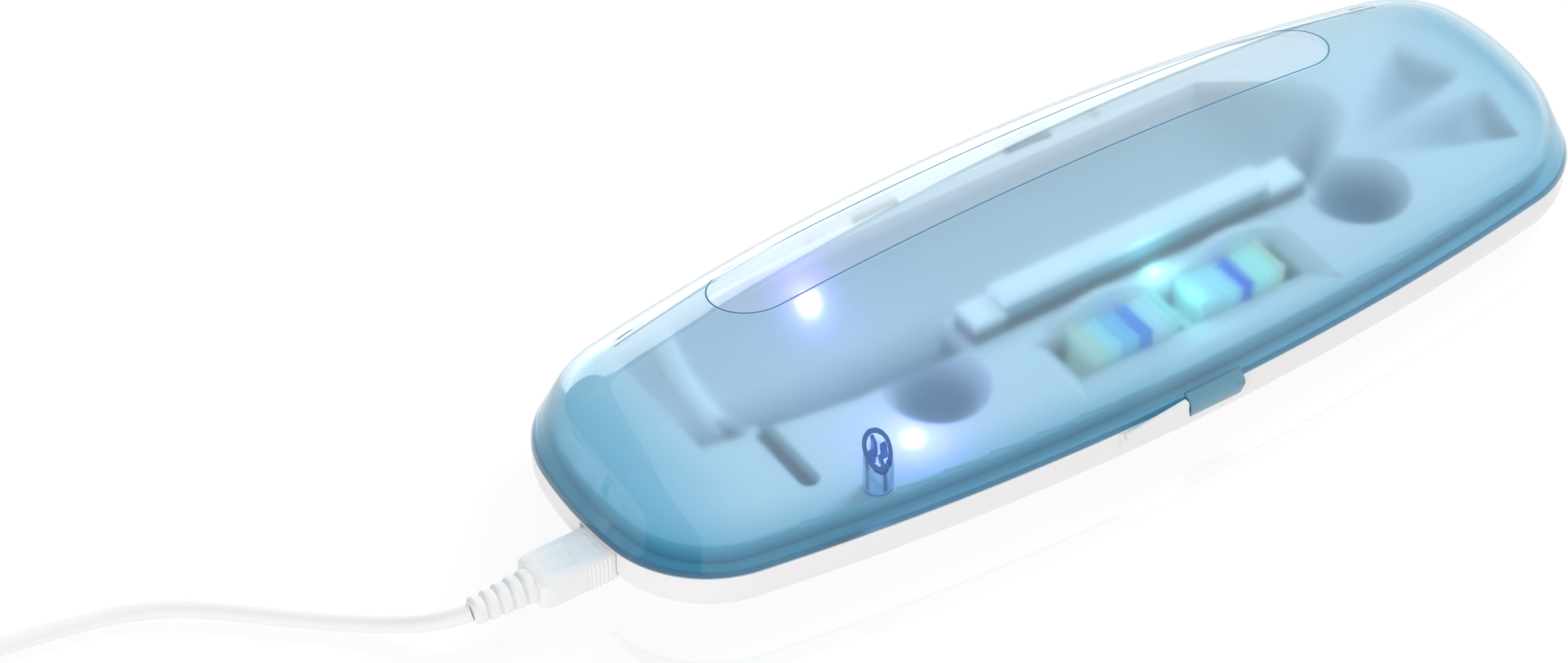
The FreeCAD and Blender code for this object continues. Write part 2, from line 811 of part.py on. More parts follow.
# ---- USB lead ----
def make_plug():
    x = (plug_face_x - plug_length, plug_face_x)
    y = (usb_y - plug_width / 2, usb_y + plug_width / 2)
    z = (usb_z - plug_height / 2, usb_z + plug_height / 2)
    body = box(x, y, z)
    along = [e for e in body.Edges if abs(e.BoundBox.XLength - plug_length) < 0.01]
    body = body.makeFillet(1.6, along)
    rear = [e for e in body.Edges if e.BoundBox.XMax < x[0] + 0.01]
    return body.makeFillet(1.0, rear)


def make_tip():
    x = (plug_face_x, plug_face_x + tip_length)
    z = usb_z - tip_height / 2
    return box(x, (usb_y - tip_width / 2, usb_y + tip_width / 2), (z, z + tip_height))


def make_relief():
    """A tapered sleeve with raised rings, from the plug towards -X."""
    first, last = relief_start_radius, relief_end_radius
    start = V(plug_face_x - plug_length, usb_y, usb_z)
    heading = V(-1, 0, 0)
    pitch = relief_length / relief_rings
    shapes = [Part.makeCone(first - ring_height, last - ring_height, relief_length, start, heading)]
    for i in range(relief_rings):
        r = first + (last - first) * i / (relief_rings - 1)
        shapes.append(Part.makeCylinder(r, pitch * 0.6, start + heading * (i * pitch), heading))
    return join(shapes)


def make_usb_a_relief():
    start = V(usb_a_x - usb_a_relief, usb_a_y, usb_a_z)
    return Part.makeCone(relief_end_radius - 0.3, relief_start_radius, usb_a_relief, start, V(1, 0, 0))


def tube(points, radius):
    """A round tube, x from the sleeve, on straight runs joined by tangent arcs as large as the runs allow."""
    pts = [V(lead_x + x, y, z) for x, y, z in points]
    edges, here, radii = [], pts[0], []
    for before, at, after in zip(pts, pts[1:], pts[2:]):
        a, b = (before - at), (after - at)
        turn = math.pi - a.getAngle(b)
        reach = 0.45 * min(a.Length, b.Length)
        radii.append(reach / math.tan(turn / 2))
        a.normalize()
        b.normalize()
        first, last = at + a * reach, at + b * reach
        inward = (a + b).normalize()
        centre_way = radii[-1] / math.cos(turn / 2)
        middle = at + inward * (centre_way - radii[-1])
        edges.append(Part.LineSegment(here, first).toShape())
        edges.append(Part.Arc(first, middle, last).toShape())
        here = last
    edges.append(Part.LineSegment(here, pts[-1]).toShape())
    path = Part.Wire(edges)
    start = Part.Wire(Part.makeCircle(radius, pts[0], pts[1] - pts[0]))
    solid = path.makePipeShell([start], True, False)
    print("radii", [round(r, 1) for r in radii], "length", round(path.Length, 1),
          "volume ratio", round(solid.Volume / (math.pi * radius ** 2 * path.Length), 4))
    return solid


def make_coil():
    r = cable_radius
    z = coil_lift
    rise = r * math.sqrt(3)
    section = [(coil_floor_radii[0] - r, z), (coil_floor_radii[-1] + r, z),
               (coil_floor_radii[-1] + r, z + 2 * r), (coil_upper_radii[-1] + r, z + 2 * r + rise),
               (coil_upper_radii[0] - r, z + 2 * r + rise), (coil_floor_radii[0] - r, z + 2 * r)]
    points = [V(coil_x + a, coil_y, b) for a, b in section]
    face = Part.Face(Part.makePolygon(points + points[:1]))
    turns = coil_floor_radii + coil_upper_radii
    print("coil holds", round(2 * math.pi * sum(turns), 1))
    return face.revolve(V(coil_x, coil_y, 0), V(0, 0, 1), 360)


def make_tie():
    r = cable_radius
    near = math.sqrt((coil_floor_radii[0] - r) ** 2 - (tie_width / 2) ** 2)
    x = (coil_x + near - tie_gap, coil_x + coil_floor_radii[-1] + r + tie_gap)
    z = (coil_lift - tie_gap, coil_lift + 2 * r + r * math.sqrt(3) + tie_gap)
    y = (coil_y - tie_width / 2, coil_y + tie_width / 2)
    t = tie_thick
    band = box((x[0] - t, x[1] + t), y, (z[0] - t, z[1] + t))
    return band.cut(box(x, (y[0] - 1, y[1] + 1), z))


def make_usb_a():
    x = (usb_a_x, usb_a_x + usb_a_length)
    body = box(x, (usb_a_y - usb_a_width / 2, usb_a_y + usb_a_width / 2),
               (usb_a_z - usb_a_height / 2, usb_a_z + usb_a_height / 2))
    along = [e for e in body.Edges if abs(e.BoundBox.XLength - usb_a_length) < 0.01]
    return body.makeFillet(1.8, along)


def make_usb_a_shell():
    width, height, length = usb_a_shell
    x = (usb_a_x + usb_a_length, usb_a_x + usb_a_length + length)
    y = (usb_a_y - width / 2, usb_a_y + width / 2)
    z = (usb_a_z - height / 2, usb_a_z + height / 2)
    t = socket_sheet
    hollow = box((x[0] + 1, x[1] + 1), (y[0] + t, y[1] - t), (z[0] + t + 1.9, z[1] - t))
    return box(x, y, z).cut(hollow)


def save(name, shape):
    shape.exportStep(f"parts/{name}.step")
    print(f"{name}: {len(shape.Solids)} solid(s), volume {shape.Volume:.1f}, valid {shape.isValid()}")


parts = {
    "lid_shell": make_lid,
    "base_shell": make_base,
    "inner_tray": make_tray,
    "hinge_pin": lambda: bar((-pin_half, pin_half), hinge_y, hinge_z, pin_radius),
    "lamp_housing": make_housing,
    "uv_lamp_tube": make_lamp,
    "lamp_cap_left": lambda: make_cap(-1),
    "lamp_cap_right": lambda: make_cap(1),
    "lamp_reflector": make_reflector,
    "circuit_board": make_board,
    "board_screws": make_board_screws,
    "inverter_core": make_transformer,
    "inverter_winding": make_winding,
    "timer_chip": make_chip,
    "capacitors": make_capacitors,
    "usb_socket": make_socket,
    "led_front": lambda: make_led(led_front, board_top),
    "led_back": lambda: make_led(led_back, floor_top + 0.4),
    "interlock_switch": make_switch,
    "interlock_plunger": make_plunger,
    "brush_head_left": lambda: make_head(head_places()[0]),
    "brush_head_right": lambda: make_head(head_places()[1]),
    "bristles_left": lambda: make_tufts(head_places()[0]),
    "bristles_right": lambda: make_tufts(head_places()[1]),
    "case_screws": make_screws,
    "rubber_feet": make_feet,
    "usb_plug": make_plug,
    "usb_plug_tip": make_tip,
    "strain_relief": make_relief,
    "cable_run": lambda: tube(cable_points, cable_radius),
    "cable_coil": make_coil,
    "cable_tail": lambda: tube(tail_points, cable_radius),
    "cable_tie": make_tie,
    "usb_a_relief": make_usb_a_relief,
    "usb_a_plug": make_usb_a,
    "usb_a_shell": make_usb_a_shell,
}
for name, make in parts.items():
    save(name, make())
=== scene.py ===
# %% [markdown]
# # A travel sanitizer for toothbrushes
# The real object is a long rounded case. A clear blue lid is hinged at its back, and a white tray
# inside carries an ultraviolet lamp, two brush heads and two small lights. A white USB lead is
# plugged into its left end. Every new piece below is a surface worked out with numpy, and every
# finish is a procedural material. Lengths are written in millimetres, and MM makes them metres.

# %% Start: the frame that every piece rides on
import math

import bmesh
import bpy
import numpy as np
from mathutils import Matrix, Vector


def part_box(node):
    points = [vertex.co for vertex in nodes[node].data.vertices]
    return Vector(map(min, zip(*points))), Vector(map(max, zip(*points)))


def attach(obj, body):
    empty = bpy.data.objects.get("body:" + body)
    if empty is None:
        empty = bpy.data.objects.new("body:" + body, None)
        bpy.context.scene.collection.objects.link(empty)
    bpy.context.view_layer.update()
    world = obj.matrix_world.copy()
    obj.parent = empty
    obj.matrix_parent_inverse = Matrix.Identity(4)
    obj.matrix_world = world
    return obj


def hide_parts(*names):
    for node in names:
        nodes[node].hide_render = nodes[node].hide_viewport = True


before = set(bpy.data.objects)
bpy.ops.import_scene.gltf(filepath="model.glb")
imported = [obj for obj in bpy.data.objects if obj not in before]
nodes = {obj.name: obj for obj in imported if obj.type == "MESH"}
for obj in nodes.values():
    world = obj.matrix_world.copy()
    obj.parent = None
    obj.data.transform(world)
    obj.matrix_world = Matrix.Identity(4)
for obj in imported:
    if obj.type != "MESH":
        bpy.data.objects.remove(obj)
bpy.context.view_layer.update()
MM = 0.001
print("solids in the frame:", len(nodes))

# %% [markdown]
# ## The camera
# The case is seen from its front left corner, from well above, through a long lens. A long lens
# keeps the far end nearly as large as the near end.

# %% Camera
camera_at = np.array([-0.4248, -0.5330, 0.6168])
camera_aim = np.array([-0.05399, 0.0197, 0.0110])
lens_mm, sensor_mm = 105.79, 36.0


def link(obj):
    """Puts a new object into the scene."""
    bpy.context.scene.collection.objects.link(obj)
    return obj


def look_at(place, aim):
    """Rotation that turns a camera's -Z axis from place towards aim, with +Y up."""
    return Vector(aim - place).to_track_quat("-Z", "Y").to_euler()


camera_data = bpy.data.cameras.new("camera")
camera_data.lens = lens_mm
camera_data.sensor_width = sensor_mm
camera = link(bpy.data.objects.new("camera", camera_data))
camera.location = camera_at
camera.rotation_euler = look_at(camera_at, camera_aim)
bpy.context.scene.camera = camera
bpy.context.scene.view_settings.view_transform = "Standard"
print("camera distance, m:", round(float(np.linalg.norm(camera_at - camera_aim)), 3))

# %% [markdown]
# ## The USB lead
# The lead is one soft white cable, 3.5 mm thick. It leaves the plug's sleeve, drops to the table,
# wanders off in loose curves, and the rest is wound into a round coil held by a tie. One NURBS
# curve carries it all: the route's own points, then the coil's turns, then the short end to the
# USB-A plug. Each turn is a ring that hops to the next one in its last seventh, as a hand-wound
# coil does, and the upper rings lie in the grooves between the lower ones.

# %% Lead: the route from the plug, and the short end to the far plug
cable_radius = 1.75
lead_x = -142.0
route = np.array([
    (0.0, -8.2, 6.8), (-5.0, -6.0, 5.3), (-10.6, -0.6, 3.0), (-17.5, 6.0, 1.75),
    (-26.4, 13.5, 1.75), (-35.0, 21.4, 1.75), (-43.6, 28.4, 1.75), (-53.2, 32.6, 1.75),
    (-64.2, 35.2, 1.75), (-76.5, 37.3, 1.75), (-88.5, 39.3, 2.0), (-98.5, 39.7, 2.55)])
tail_route = np.array([
    (-115.0, 86.7, 5.6), (-108.5, 91.3, 5.2), (-103.8, 95.3, 4.5), (-99.0, 96.8, 4.1)])
print("route points:", len(route), "and", len(tail_route))

# %% Lead: the coil
coil_centre = (-105.0, 65.0)
ring_radii = np.array([25.25, 21.75, 18.25, 14.75, 16.5, 20.0, 23.5, 23.9])
floor_z, upper_z = 2.55, 5.58
coil_turns, points_per_turn = 6.40, 18
first_point, hop_start = 0.35, 0.85
climb_start, climb_run = 3.5, 0.3
arch_height, arch_at, arch_width = 0.45, 0.93, 0.09


def smooth_step(t):
    """3t^2 - 2t^3, held at 0 before t = 0 and at 1 after t = 1."""
    t = np.clip(t, 0.0, 1.0)
    return t * t * (3.0 - 2.0 * t)


def coil_points(turns):
    """Clockwise rings from the coil's front: each steps to the next one's radius near its end.

    The height climbs once, to the upper layer, where the lead also arches over each crossing.
    """
    t = np.arange(first_point / points_per_turn, turns, 1.0 / points_per_turn)
    ring = np.floor(t).astype(int)
    part = t - ring
    hop = smooth_step((part - hop_start) / (1.0 - hop_start))
    radius = ring_radii[ring] * (1.0 - hop) + ring_radii[ring + 1] * hop
    radius = radius / math.cos(math.pi / points_per_turn)
    angle = -math.pi / 2 - 2 * math.pi * t
    over = sum(np.exp(-((part - at) / arch_width) ** 2) for at in (arch_at, arch_at - 1.0))
    z = floor_z + (upper_z - floor_z) * smooth_step((t - climb_start) / climb_run)
    z = z + arch_height * over * (t > climb_start + 0.1)
    x = coil_centre[0] + radius * np.cos(angle)
    y = coil_centre[1] + radius * np.sin(angle)
    return np.stack([x, y, z], axis=1)


lead_points = np.concatenate([route[:-1], coil_points(coil_turns), tail_route[1:]])
lead_points = (lead_points + [lead_x, 0.0, 0.0]) * MM
print("lead has", len(lead_points), "control points")


# %% Lead: one tube
def nurbs_tube(name, points, radius):
    """A round tube on one NURBS spline whose control points are the route's own points."""
    data = bpy.data.curves.new(name, "CURVE")
    data.dimensions = "3D"
    spline = data.splines.new("NURBS")
    spline.points.add(len(points) - 1)
    flat = np.concatenate([points, np.ones((len(points), 1))], axis=1)
    spline.points.foreach_set("co", flat.ravel())
    spline.order_u = 3
    spline.use_endpoint_u = True
    spline.resolution_u = 6
    data.bevel_depth = radius
    data.bevel_resolution = 5
    data.use_fill_caps = True
    return link(bpy.data.objects.new(name, data))


lead = nurbs_tube("usb_lead", lead_points, cable_radius * MM)
print("made", lead.name)

# %% [markdown]
# ## Helpers for surfaces
# A surface is a grid of points, rows by columns. Its faces come from index arithmetic on whole
# arrays, so no loop walks over the vertices. Rows that fall together at a pole or a seam are merged
# afterwards, and the faces are turned outwards.

# %% A grid becomes a mesh
def mesh_object(name, points, faces, slots=None, smooth=True):
    """points is (n, 3) in millimetres, faces a list of index tuples, slots one index a face."""
    mesh = bpy.data.meshes.new(name)
    mesh.from_pydata((np.asarray(points) * MM).tolist(), [], faces)
    if slots is not None:
        mesh.polygons.foreach_set("material_index", np.asarray(slots, dtype=np.int32))
    mesh.polygons.foreach_set("use_smooth", np.full(len(mesh.polygons), smooth))
    tidy = bmesh.new()
    tidy.from_mesh(mesh)
    bmesh.ops.remove_doubles(tidy, verts=tidy.verts, dist=1e-6)
    bmesh.ops.dissolve_degenerate(tidy, edges=tidy.edges, dist=1e-7)
    bmesh.ops.recalc_face_normals(tidy, faces=tidy.faces)
    tidy.to_mesh(mesh)
    tidy.free()
    return link(bpy.data.objects.new(name, mesh))


def grid_faces(rows, columns):
    """Quads between neighbouring rows; the last column joins the first."""
    i = np.arange(rows - 1)[:, None]
    j = np.arange(columns)[None, :]
    k = (j + 1) % columns
    quads = np.stack(np.broadcast_arrays(i * columns + j, i * columns + k,
                                         (i + 1) * columns + k, (i + 1) * columns + j), axis=-1)
    return quads.reshape(-1, 4).tolist()


def grid_object(name, grid, caps=False, slots=None, smooth=True):
    """One piece from a (rows, columns, 3) grid, with one slot a face; caps close both ends."""
    rows, columns = grid.shape[:2]
    faces = grid_faces(rows, columns)
    if caps:
        faces += [list(range(columns)), list(range((rows - 1) * columns, rows * columns))]
    return mesh_object(name, grid.reshape(-1, 3), faces, slots, smooth)


print("quads in one closed strip of 8 columns:", len(grid_faces(2, 8)))

# %% Softened edges and swept bars
soft_angle = 35.0


def soften(piece, width, segments=3, angle=soft_angle):
    """A small Bevel on the sharp edges, so that they catch the light."""
    bevel = piece.modifiers.new("soft_edges", "BEVEL")
    bevel.width = width * MM
    bevel.segments = segments
    bevel.limit_method = "ANGLE"
    bevel.angle_limit = math.radians(angle)
    piece.data.polygons.foreach_set("use_smooth", np.full(len(piece.data.polygons), True))
    keep = piece.modifiers.new("flat_faces", "WEIGHTED_NORMAL")
    keep.keep_sharp = True
    return piece


def sweep_x(name, profile, xs, bevel):
    """A (y, z) profile carried along X: xs holds one x for all its points, or one x a point."""
    profile = np.asarray(profile, dtype=float)
    rows = [np.column_stack([np.broadcast_to(x, len(profile)), profile]) for x in xs]
    return soften(grid_object(name, np.stack(rows), caps=True, smooth=False), bevel)


print("edges sharper than", soft_angle, "degrees are softened")

# %% [markdown]
# ## Finishes
# Moulded plastic is never one flat colour: its gloss wanders a little, and it has a very fine
# texture from the mould. One node group makes that for every plastic, metal and rubber here but the
# lid's clear skins, and each material places it with its own values. A few short helpers keep the
# wiring readable.

# %% Helpers: groups and nodes
def new_group(name, inputs, outputs):
    """An empty shader group with named sockets, and its input and output nodes."""
    group = bpy.data.node_groups.new(name, "ShaderNodeTree")
    for title, kind, value in inputs:
        socket = group.interface.new_socket(name=title, in_out="INPUT", socket_type=kind)
        socket.default_value = value
    for title, kind in outputs:
        group.interface.new_socket(name=title, in_out="OUTPUT", socket_type=kind)
    return group, group.nodes.new("NodeGroupInput"), group.nodes.new("NodeGroupOutput")


def add(tree, kind, **values):
    """A node with its properties; a key such as in_Scale sets the input called Scale."""
    node = tree.nodes.new(kind)
    for key, value in values.items():
        if key.startswith("in_"):
            node.inputs[key[3:].replace("_", " ")].default_value = value
        else:
            setattr(node, key, value)
    return node


print("shader helpers:", new_group.__name__, add.__name__)


# %% Helpers: values, colours and places
def math_of(tree, operation, first, second, clamp=False):
    """One Math node on two sockets or numbers; gives its output."""
    node = add(tree, "ShaderNodeMath", operation=operation, use_clamp=clamp)
    for slot, value in enumerate((first, second)):
        if isinstance(value, (int, float)):
            node.inputs[slot].default_value = value
        else:
            tree.links.new(value, node.inputs[slot])
    return node.outputs[0]


def ramp_of(tree, source, start, end, low=0.0, high=1.0, soft=True):
    """A value that goes from low to high while the source goes from start to end."""
    node = add(tree, "ShaderNodeMapRange", in_From_Min=start, in_From_Max=end, in_To_Min=low,
               in_To_Max=high, interpolation_type="SMOOTHSTEP" if soft else "LINEAR")
    tree.links.new(source, node.inputs["Value"])
    return node.outputs["Result"]


def mix_of(tree, factor, first, second):
    """A colour between two; each is a socket or three numbers."""
    node = add(tree, "ShaderNodeMix", data_type="RGBA")
    ends = [socket for socket in node.inputs if socket.type == "RGBA"]
    for socket, value in zip(ends, (first, second)):
        if isinstance(value, tuple):
            socket.default_value = (*value, 1)
        else:
            tree.links.new(value, socket)
    tree.links.new(factor, node.inputs["Factor"])
    return [socket for socket in node.outputs if socket.type == "RGBA"][0]


def place_in(tree):
    """The three Object coordinates of the surface, in metres."""
    place = add(tree, "ShaderNodeTexCoord")
    split = add(tree, "ShaderNodeSeparateXYZ")
    tree.links.new(place.outputs["Object"], split.inputs[0])
    return split.outputs


print("shader helpers:", [f.__name__ for f in (math_of, ramp_of, mix_of, place_in)])

# %% Node group for a moulded skin
wander_scale, bump_depth = 60.0, 0.00005
moulded, m_in, m_out = new_group(
    "moulded_skin",
    [("Color", "NodeSocketColor", (0.8, 0.8, 0.8, 1)), ("Roughness", "NodeSocketFloat", 0.4),
     ("Grain", "NodeSocketFloat", 2500.0), ("Depth", "NodeSocketFloat", 0.1),
     ("Vary", "NodeSocketFloat", 0.05)],
    [("Color", "NodeSocketColor"), ("Roughness", "NodeSocketFloat"),
     ("Normal", "NodeSocketVector")])
wire = moulded.links.new
place = add(moulded, "ShaderNodeTexCoord")
fine = add(moulded, "ShaderNodeTexNoise", in_Detail=2.0)
wide = add(moulded, "ShaderNodeTexNoise", in_Scale=wander_scale, in_Detail=3.0)
wire(place.outputs["Object"], fine.inputs["Vector"])
wire(place.outputs["Object"], wide.inputs["Vector"])
wire(m_in.outputs["Grain"], fine.inputs["Scale"])
centred = math_of(moulded, "SUBTRACT", wide.outputs["Fac"], 0.5)
swing = math_of(moulded, "MULTIPLY", centred, m_in.outputs["Vary"])
tint = add(moulded, "ShaderNodeVectorMath", operation="SCALE")
wire(m_in.outputs["Color"], tint.inputs[0])
wire(math_of(moulded, "ADD", swing, 1.0), tint.inputs["Scale"])
wire(tint.outputs[0], m_out.inputs["Color"])
wire(math_of(moulded, "ADD", m_in.outputs["Roughness"], swing, clamp=True),
     m_out.inputs["Roughness"])
bump = add(moulded, "ShaderNodeBump", in_Distance=bump_depth)
wire(fine.outputs["Fac"], bump.inputs["Height"])
wire(m_in.outputs["Depth"], bump.inputs["Strength"])
wire(bump.outputs[0], m_out.inputs["Normal"])
print("group", moulded.name, "has", len(moulded.nodes), "nodes")


# %% A material on that skin
def plain_material(name):
    """A new material's tree and its Principled shader."""
    material = bpy.data.materials.new(name)
    material.use_nodes = True
    return material, material.node_tree, material.node_tree.nodes["Principled BSDF"]


def finish(name, color, roughness, grain=2500.0, depth=0.1, vary=0.05, metal=0.0, coat=0.0,
           glow=None, strength=0.0, see_through=0.0):
    """A Principled material fed by the moulded_skin group."""
    material, tree, shader = plain_material(name)
    skin = add(tree, "ShaderNodeGroup", node_tree=moulded, in_Color=(*color, 1),
               in_Roughness=roughness, in_Grain=grain, in_Depth=depth, in_Vary=vary)
    tree.links.new(skin.outputs["Color"], shader.inputs["Base Color"])
    tree.links.new(skin.outputs["Roughness"], shader.inputs["Roughness"])
    tree.links.new(skin.outputs["Normal"], shader.inputs["Normal"])
    shader.inputs["Metallic"].default_value = metal
    shader.inputs["Coat Weight"].default_value = coat
    shader.inputs["Transmission Weight"].default_value = see_through
    if glow is not None:
        shader.inputs["Emission Color"].default_value = (*glow, 1)
        shader.inputs["Emission Strength"].default_value = strength
    return material


case_white = finish("case_white", (0.84, 0.825, 0.83), 0.3, 3200, 0.06, 0.03)
print("made", case_white.name)

# %% [markdown]
# ## Clear blue plastic
# The lid is tinted polycarbonate: glossy outside, and with a fine texture inside that blurs what
# lies below it. Both skins are the same glass-like shader with a different roughness. The tint is
# deeper in the lowest band of the wall and at both ends, where the plastic is seen edge on; in the
# lowest band the deeper tint is also painted shade, of the dim gap behind the wall. It is paler at
# the back. A ray that only asks whether light gets through meets a tinted transparent surface
# instead, so the tray below is lit through the lid.

# %% Clear blue: tints and where they change
# The lowest band's deeper tint is partly painted shade, of the dim gap behind the wall.
band_low, band_high = 12.0, 23.5
back_low, back_high = 18.0, 34.0
end_bands = ((-89.0, -110.0, 0.3), (96.0, 114.0, 0.65))
edge_and_shade_tint = (0.29, 0.59, 0.73)
pale_tint = (0.61, 0.78, 0.87)
clear_tint = (0.78, 0.88, 0.94)
lip_tint = (0.16, 0.42, 0.58)


def lid_tint(tree, low, high):
    """From low to high over the wall's height, less at the ends, and clear at the back."""
    x, y, z = place_in(tree)
    pale = ramp_of(tree, z, band_low * MM, band_high * MM)
    for start, end, least in end_bands:
        pale = math_of(tree, "MULTIPLY", pale, ramp_of(tree, x, start * MM, end * MM, 1.0, least))
    tint = mix_of(tree, pale, low, high)
    return mix_of(tree, ramp_of(tree, y, back_low * MM, back_high * MM), tint, clear_tint)


print("tints low, high and clear:", edge_and_shade_tint, pale_tint, clear_tint)


# %% Clear blue: the shader
def clear_blue(name, roughness, low=edge_and_shade_tint, high=pale_tint, passing=1.0):
    """Tinted glass that is open to shadow rays; they pass through the square root of the tint."""
    material, tree, shader = plain_material(name)
    colour = lid_tint(tree, low, high)
    tree.links.new(colour, shader.inputs["Base Color"])
    shader.inputs["Roughness"].default_value = roughness
    shader.inputs["Transmission Weight"].default_value = passing
    shader.inputs["IOR"].default_value = 1.5
    open_shader = add(tree, "ShaderNodeBsdfTransparent")
    root = add(tree, "ShaderNodeGamma", in_Gamma=0.5)
    tree.links.new(colour, root.inputs["Color"])
    tree.links.new(root.outputs[0], open_shader.inputs["Color"])
    path = add(tree, "ShaderNodeLightPath")
    either = add(tree, "ShaderNodeMixShader")
    tree.links.new(path.outputs["Is Shadow Ray"], either.inputs["Fac"])
    tree.links.new(shader.outputs[0], either.inputs[1])
    tree.links.new(open_shader.outputs[0], either.inputs[2])
    tree.links.new(either.outputs[0], tree.nodes["Material Output"].inputs["Surface"])
    return material


lid_gloss = clear_blue("lid_gloss", 0.03)
lid_frost = clear_blue("lid_frost", 0.23, passing=0.9)
lid_window = clear_blue("lid_window", 0.03, clear_tint, clear_tint)
window_clear = clear_blue("window_clear", 0.07, clear_tint, clear_tint)
lip_blue = clear_blue("lip_blue", 0.2, lip_tint, lip_tint, passing=0.4)
# The groove's dark opaque finish is painted shade, the dark line that the clear groove shows.
groove_painted_shade = finish("groove_painted_shade", (0.10, 0.28, 0.42), 0.7, 2000, 0.02, 0.05)
print("the lid's finishes:", [m.name for m in bpy.data.materials if m != case_white])

# %% [markdown]
# ## The case's outline
# Seen from above, the case is made of three kinds of arc that meet without a kink: long flat arcs
# at the sides, tighter ones at the ends, and small ones at the corners. Because they are tangent,
# a line set in by d is the same arcs with each radius smaller by d.

# %% Outline: points and outward normals
half_length, half_width = 115.0, 40.27
side_radius, end_radius, corner_radius = 587.4, 90.3, 24.1
end_centre = np.array([half_length - end_radius, 0.0])
side_centre = np.array([0.0, half_width - side_radius])


def corner_centre():
    """Where the circle inside both the end arc and the side arc has its centre."""
    a, b = end_radius - corner_radius, side_radius - corner_radius
    gap = side_centre - end_centre
    d = float(np.linalg.norm(gap))
    along = (a * a - b * b + d * d) / (2 * d)
    height = math.sqrt(a * a - along * along)
    unit = gap / d
    return end_centre + unit * along + np.array([-unit[1], unit[0]]) * height


corner = corner_centre()
corner = corner if corner[1] > 0 else end_centre + (end_centre - corner) * np.array([-1, 1])
first_turn = math.atan2(corner[1] - end_centre[1], corner[0] - end_centre[0])
second_turn = math.atan2(corner[1] - side_centre[1], corner[0] - side_centre[0])
columns_end, columns_corner, columns_side = 10, 36, 48
print("corner centre", corner.round(2), "turns", round(first_turn, 3), round(second_turn, 3))


# %% Outline: a quarter, mirrored
def quarter():
    """Angles of the outward normal over one quarter, and each point's arc centre and radius."""
    a = np.linspace(0, first_turn, columns_end, endpoint=False)
    b = np.linspace(first_turn, second_turn, columns_corner, endpoint=False)
    c = np.linspace(second_turn, math.pi / 2, columns_side, endpoint=False)
    centre = np.concatenate([np.tile(end_centre, (len(a), 1)), np.tile(corner, (len(b), 1)),
                             np.tile(side_centre, (len(c), 1))])
    radius = np.repeat([end_radius, corner_radius, side_radius], [len(a), len(b), len(c)])
    angle = np.concatenate([a, b, c])
    normal = np.column_stack([np.cos(angle), np.sin(angle)])
    return centre + normal * radius[:, None], normal


def outline_points():
    """The whole outline counterclockwise from +X, by mirroring the quarter twice."""
    place, normal = quarter()
    whole = []
    for line, tip in ((place, [0.0, half_width]), (normal, [0.0, 1.0])):
        line = np.concatenate([line, [tip]])
        upper = np.concatenate([line, line[-2::-1] * np.array([-1, 1])])
        whole.append(np.concatenate([upper, upper[-2:0:-1] * np.array([1, -1])]))
    return whole


edge, outward = outline_points()
columns = len(edge)
print("outline has", columns, "columns")


# %% Outline: rows set in and lifted
def inset(distance):
    """The outline moved inwards: distance is one number or one a column."""
    return edge - outward * np.broadcast_to(distance, columns)[:, None]


def with_height(xy, z):
    """Plan points given their height, which is one number or one a point."""
    return np.concatenate([xy, np.broadcast_to(z, xy.shape[:-1])[..., None]], axis=-1)


def turned(count, radius=1.0, centre=(0.0, 0.0)):
    """Points of a circle, counterclockwise."""
    a = np.linspace(0, 2 * math.pi, count, endpoint=False)
    return np.column_stack([centre[0] + radius * np.cos(a), centre[1] + radius * np.sin(a)])


print("width at the middle, mm:", round(float(np.ptp(inset(0.0)[:, 1])), 2))


# %% [markdown]
# ## The lid's form
# The wall leans in, the top is a slice of a torus, and a round shoulder joins them. The shoulder is
# larger along the sides than at the ends. For each column the two lines are known, so the shoulder
# is a conic between them: it starts along the wall, ends along the crown, and its middle is pulled
# towards the point where the two lines meet.

# %% Lid form: crown
part_line, lid_bottom = 11.0, 11.3
crown_rise, crown_along, crown_across = 26.07, 675.0, 63.0


def crown_height(xy, lowered=0.0):
    """Torus top: an arc of crown_across over Y swept on an arc of crown_along over X."""
    across = np.sqrt((crown_across - lowered) ** 2 - xy[..., 1] ** 2)
    along = np.sqrt((crown_along - crown_across + across) ** 2 - xy[..., 0] ** 2)
    return part_line + crown_rise - crown_along + along


print("crown height, mm:", round(float(crown_height(np.zeros(2))), 2))

# %% Lid form: the window's line
window_y, window_half_run, window_radius, window_squeeze = 14.8, 64.25, 9.0, 0.72
groove = np.array([0.0, 0.02, 0.06, 0.11, 0.24, 0.29, 0.33, 0.35])
groove_depth = np.array([0.0, 0.0, 0.05, 0.14, 0.14, 0.05, 0.0, 0.0])


def window_loop(out):
    """Each column's point on the window's stadium, grown by out, and its place on the midline.

    Columns along the sides map straight across; those round an end share a half circle evenly.
    """
    squeezed = edge[:, 0] * window_squeeze
    middle = np.column_stack([np.clip(squeezed, -window_half_run, window_half_run),
                              np.full(columns, window_y)])
    angle = np.where(edge[:, 1] > 0, math.pi / 2, -math.pi / 2)
    for sign, first in ((1, 0), (-1, columns // 2)):
        index = np.arange(columns) - first
        index = (index + columns // 2) % columns - columns // 2
        round_end = squeezed * sign >= window_half_run
        share = index[round_end] / (np.abs(index[round_end]).max() + 1)
        angle[round_end] = (0 if sign > 0 else math.pi) + share * math.pi / 2
    ray = np.column_stack([np.cos(angle), np.sin(angle)])
    return middle + ray * (window_radius + out), middle


print("window length, mm:", round(float(np.ptp(window_loop(0.0)[0][:, 0])), 1))

# %% Lid form: where wall, shoulder and crown meet
lean = math.tan(math.radians(24.9))
tilt = math.atan(lean)
shoulder_side, shoulder_end, side_power = 20.0, 13.0, 1.5
first_guess, rounds, step = 18.0, 40, 0.5


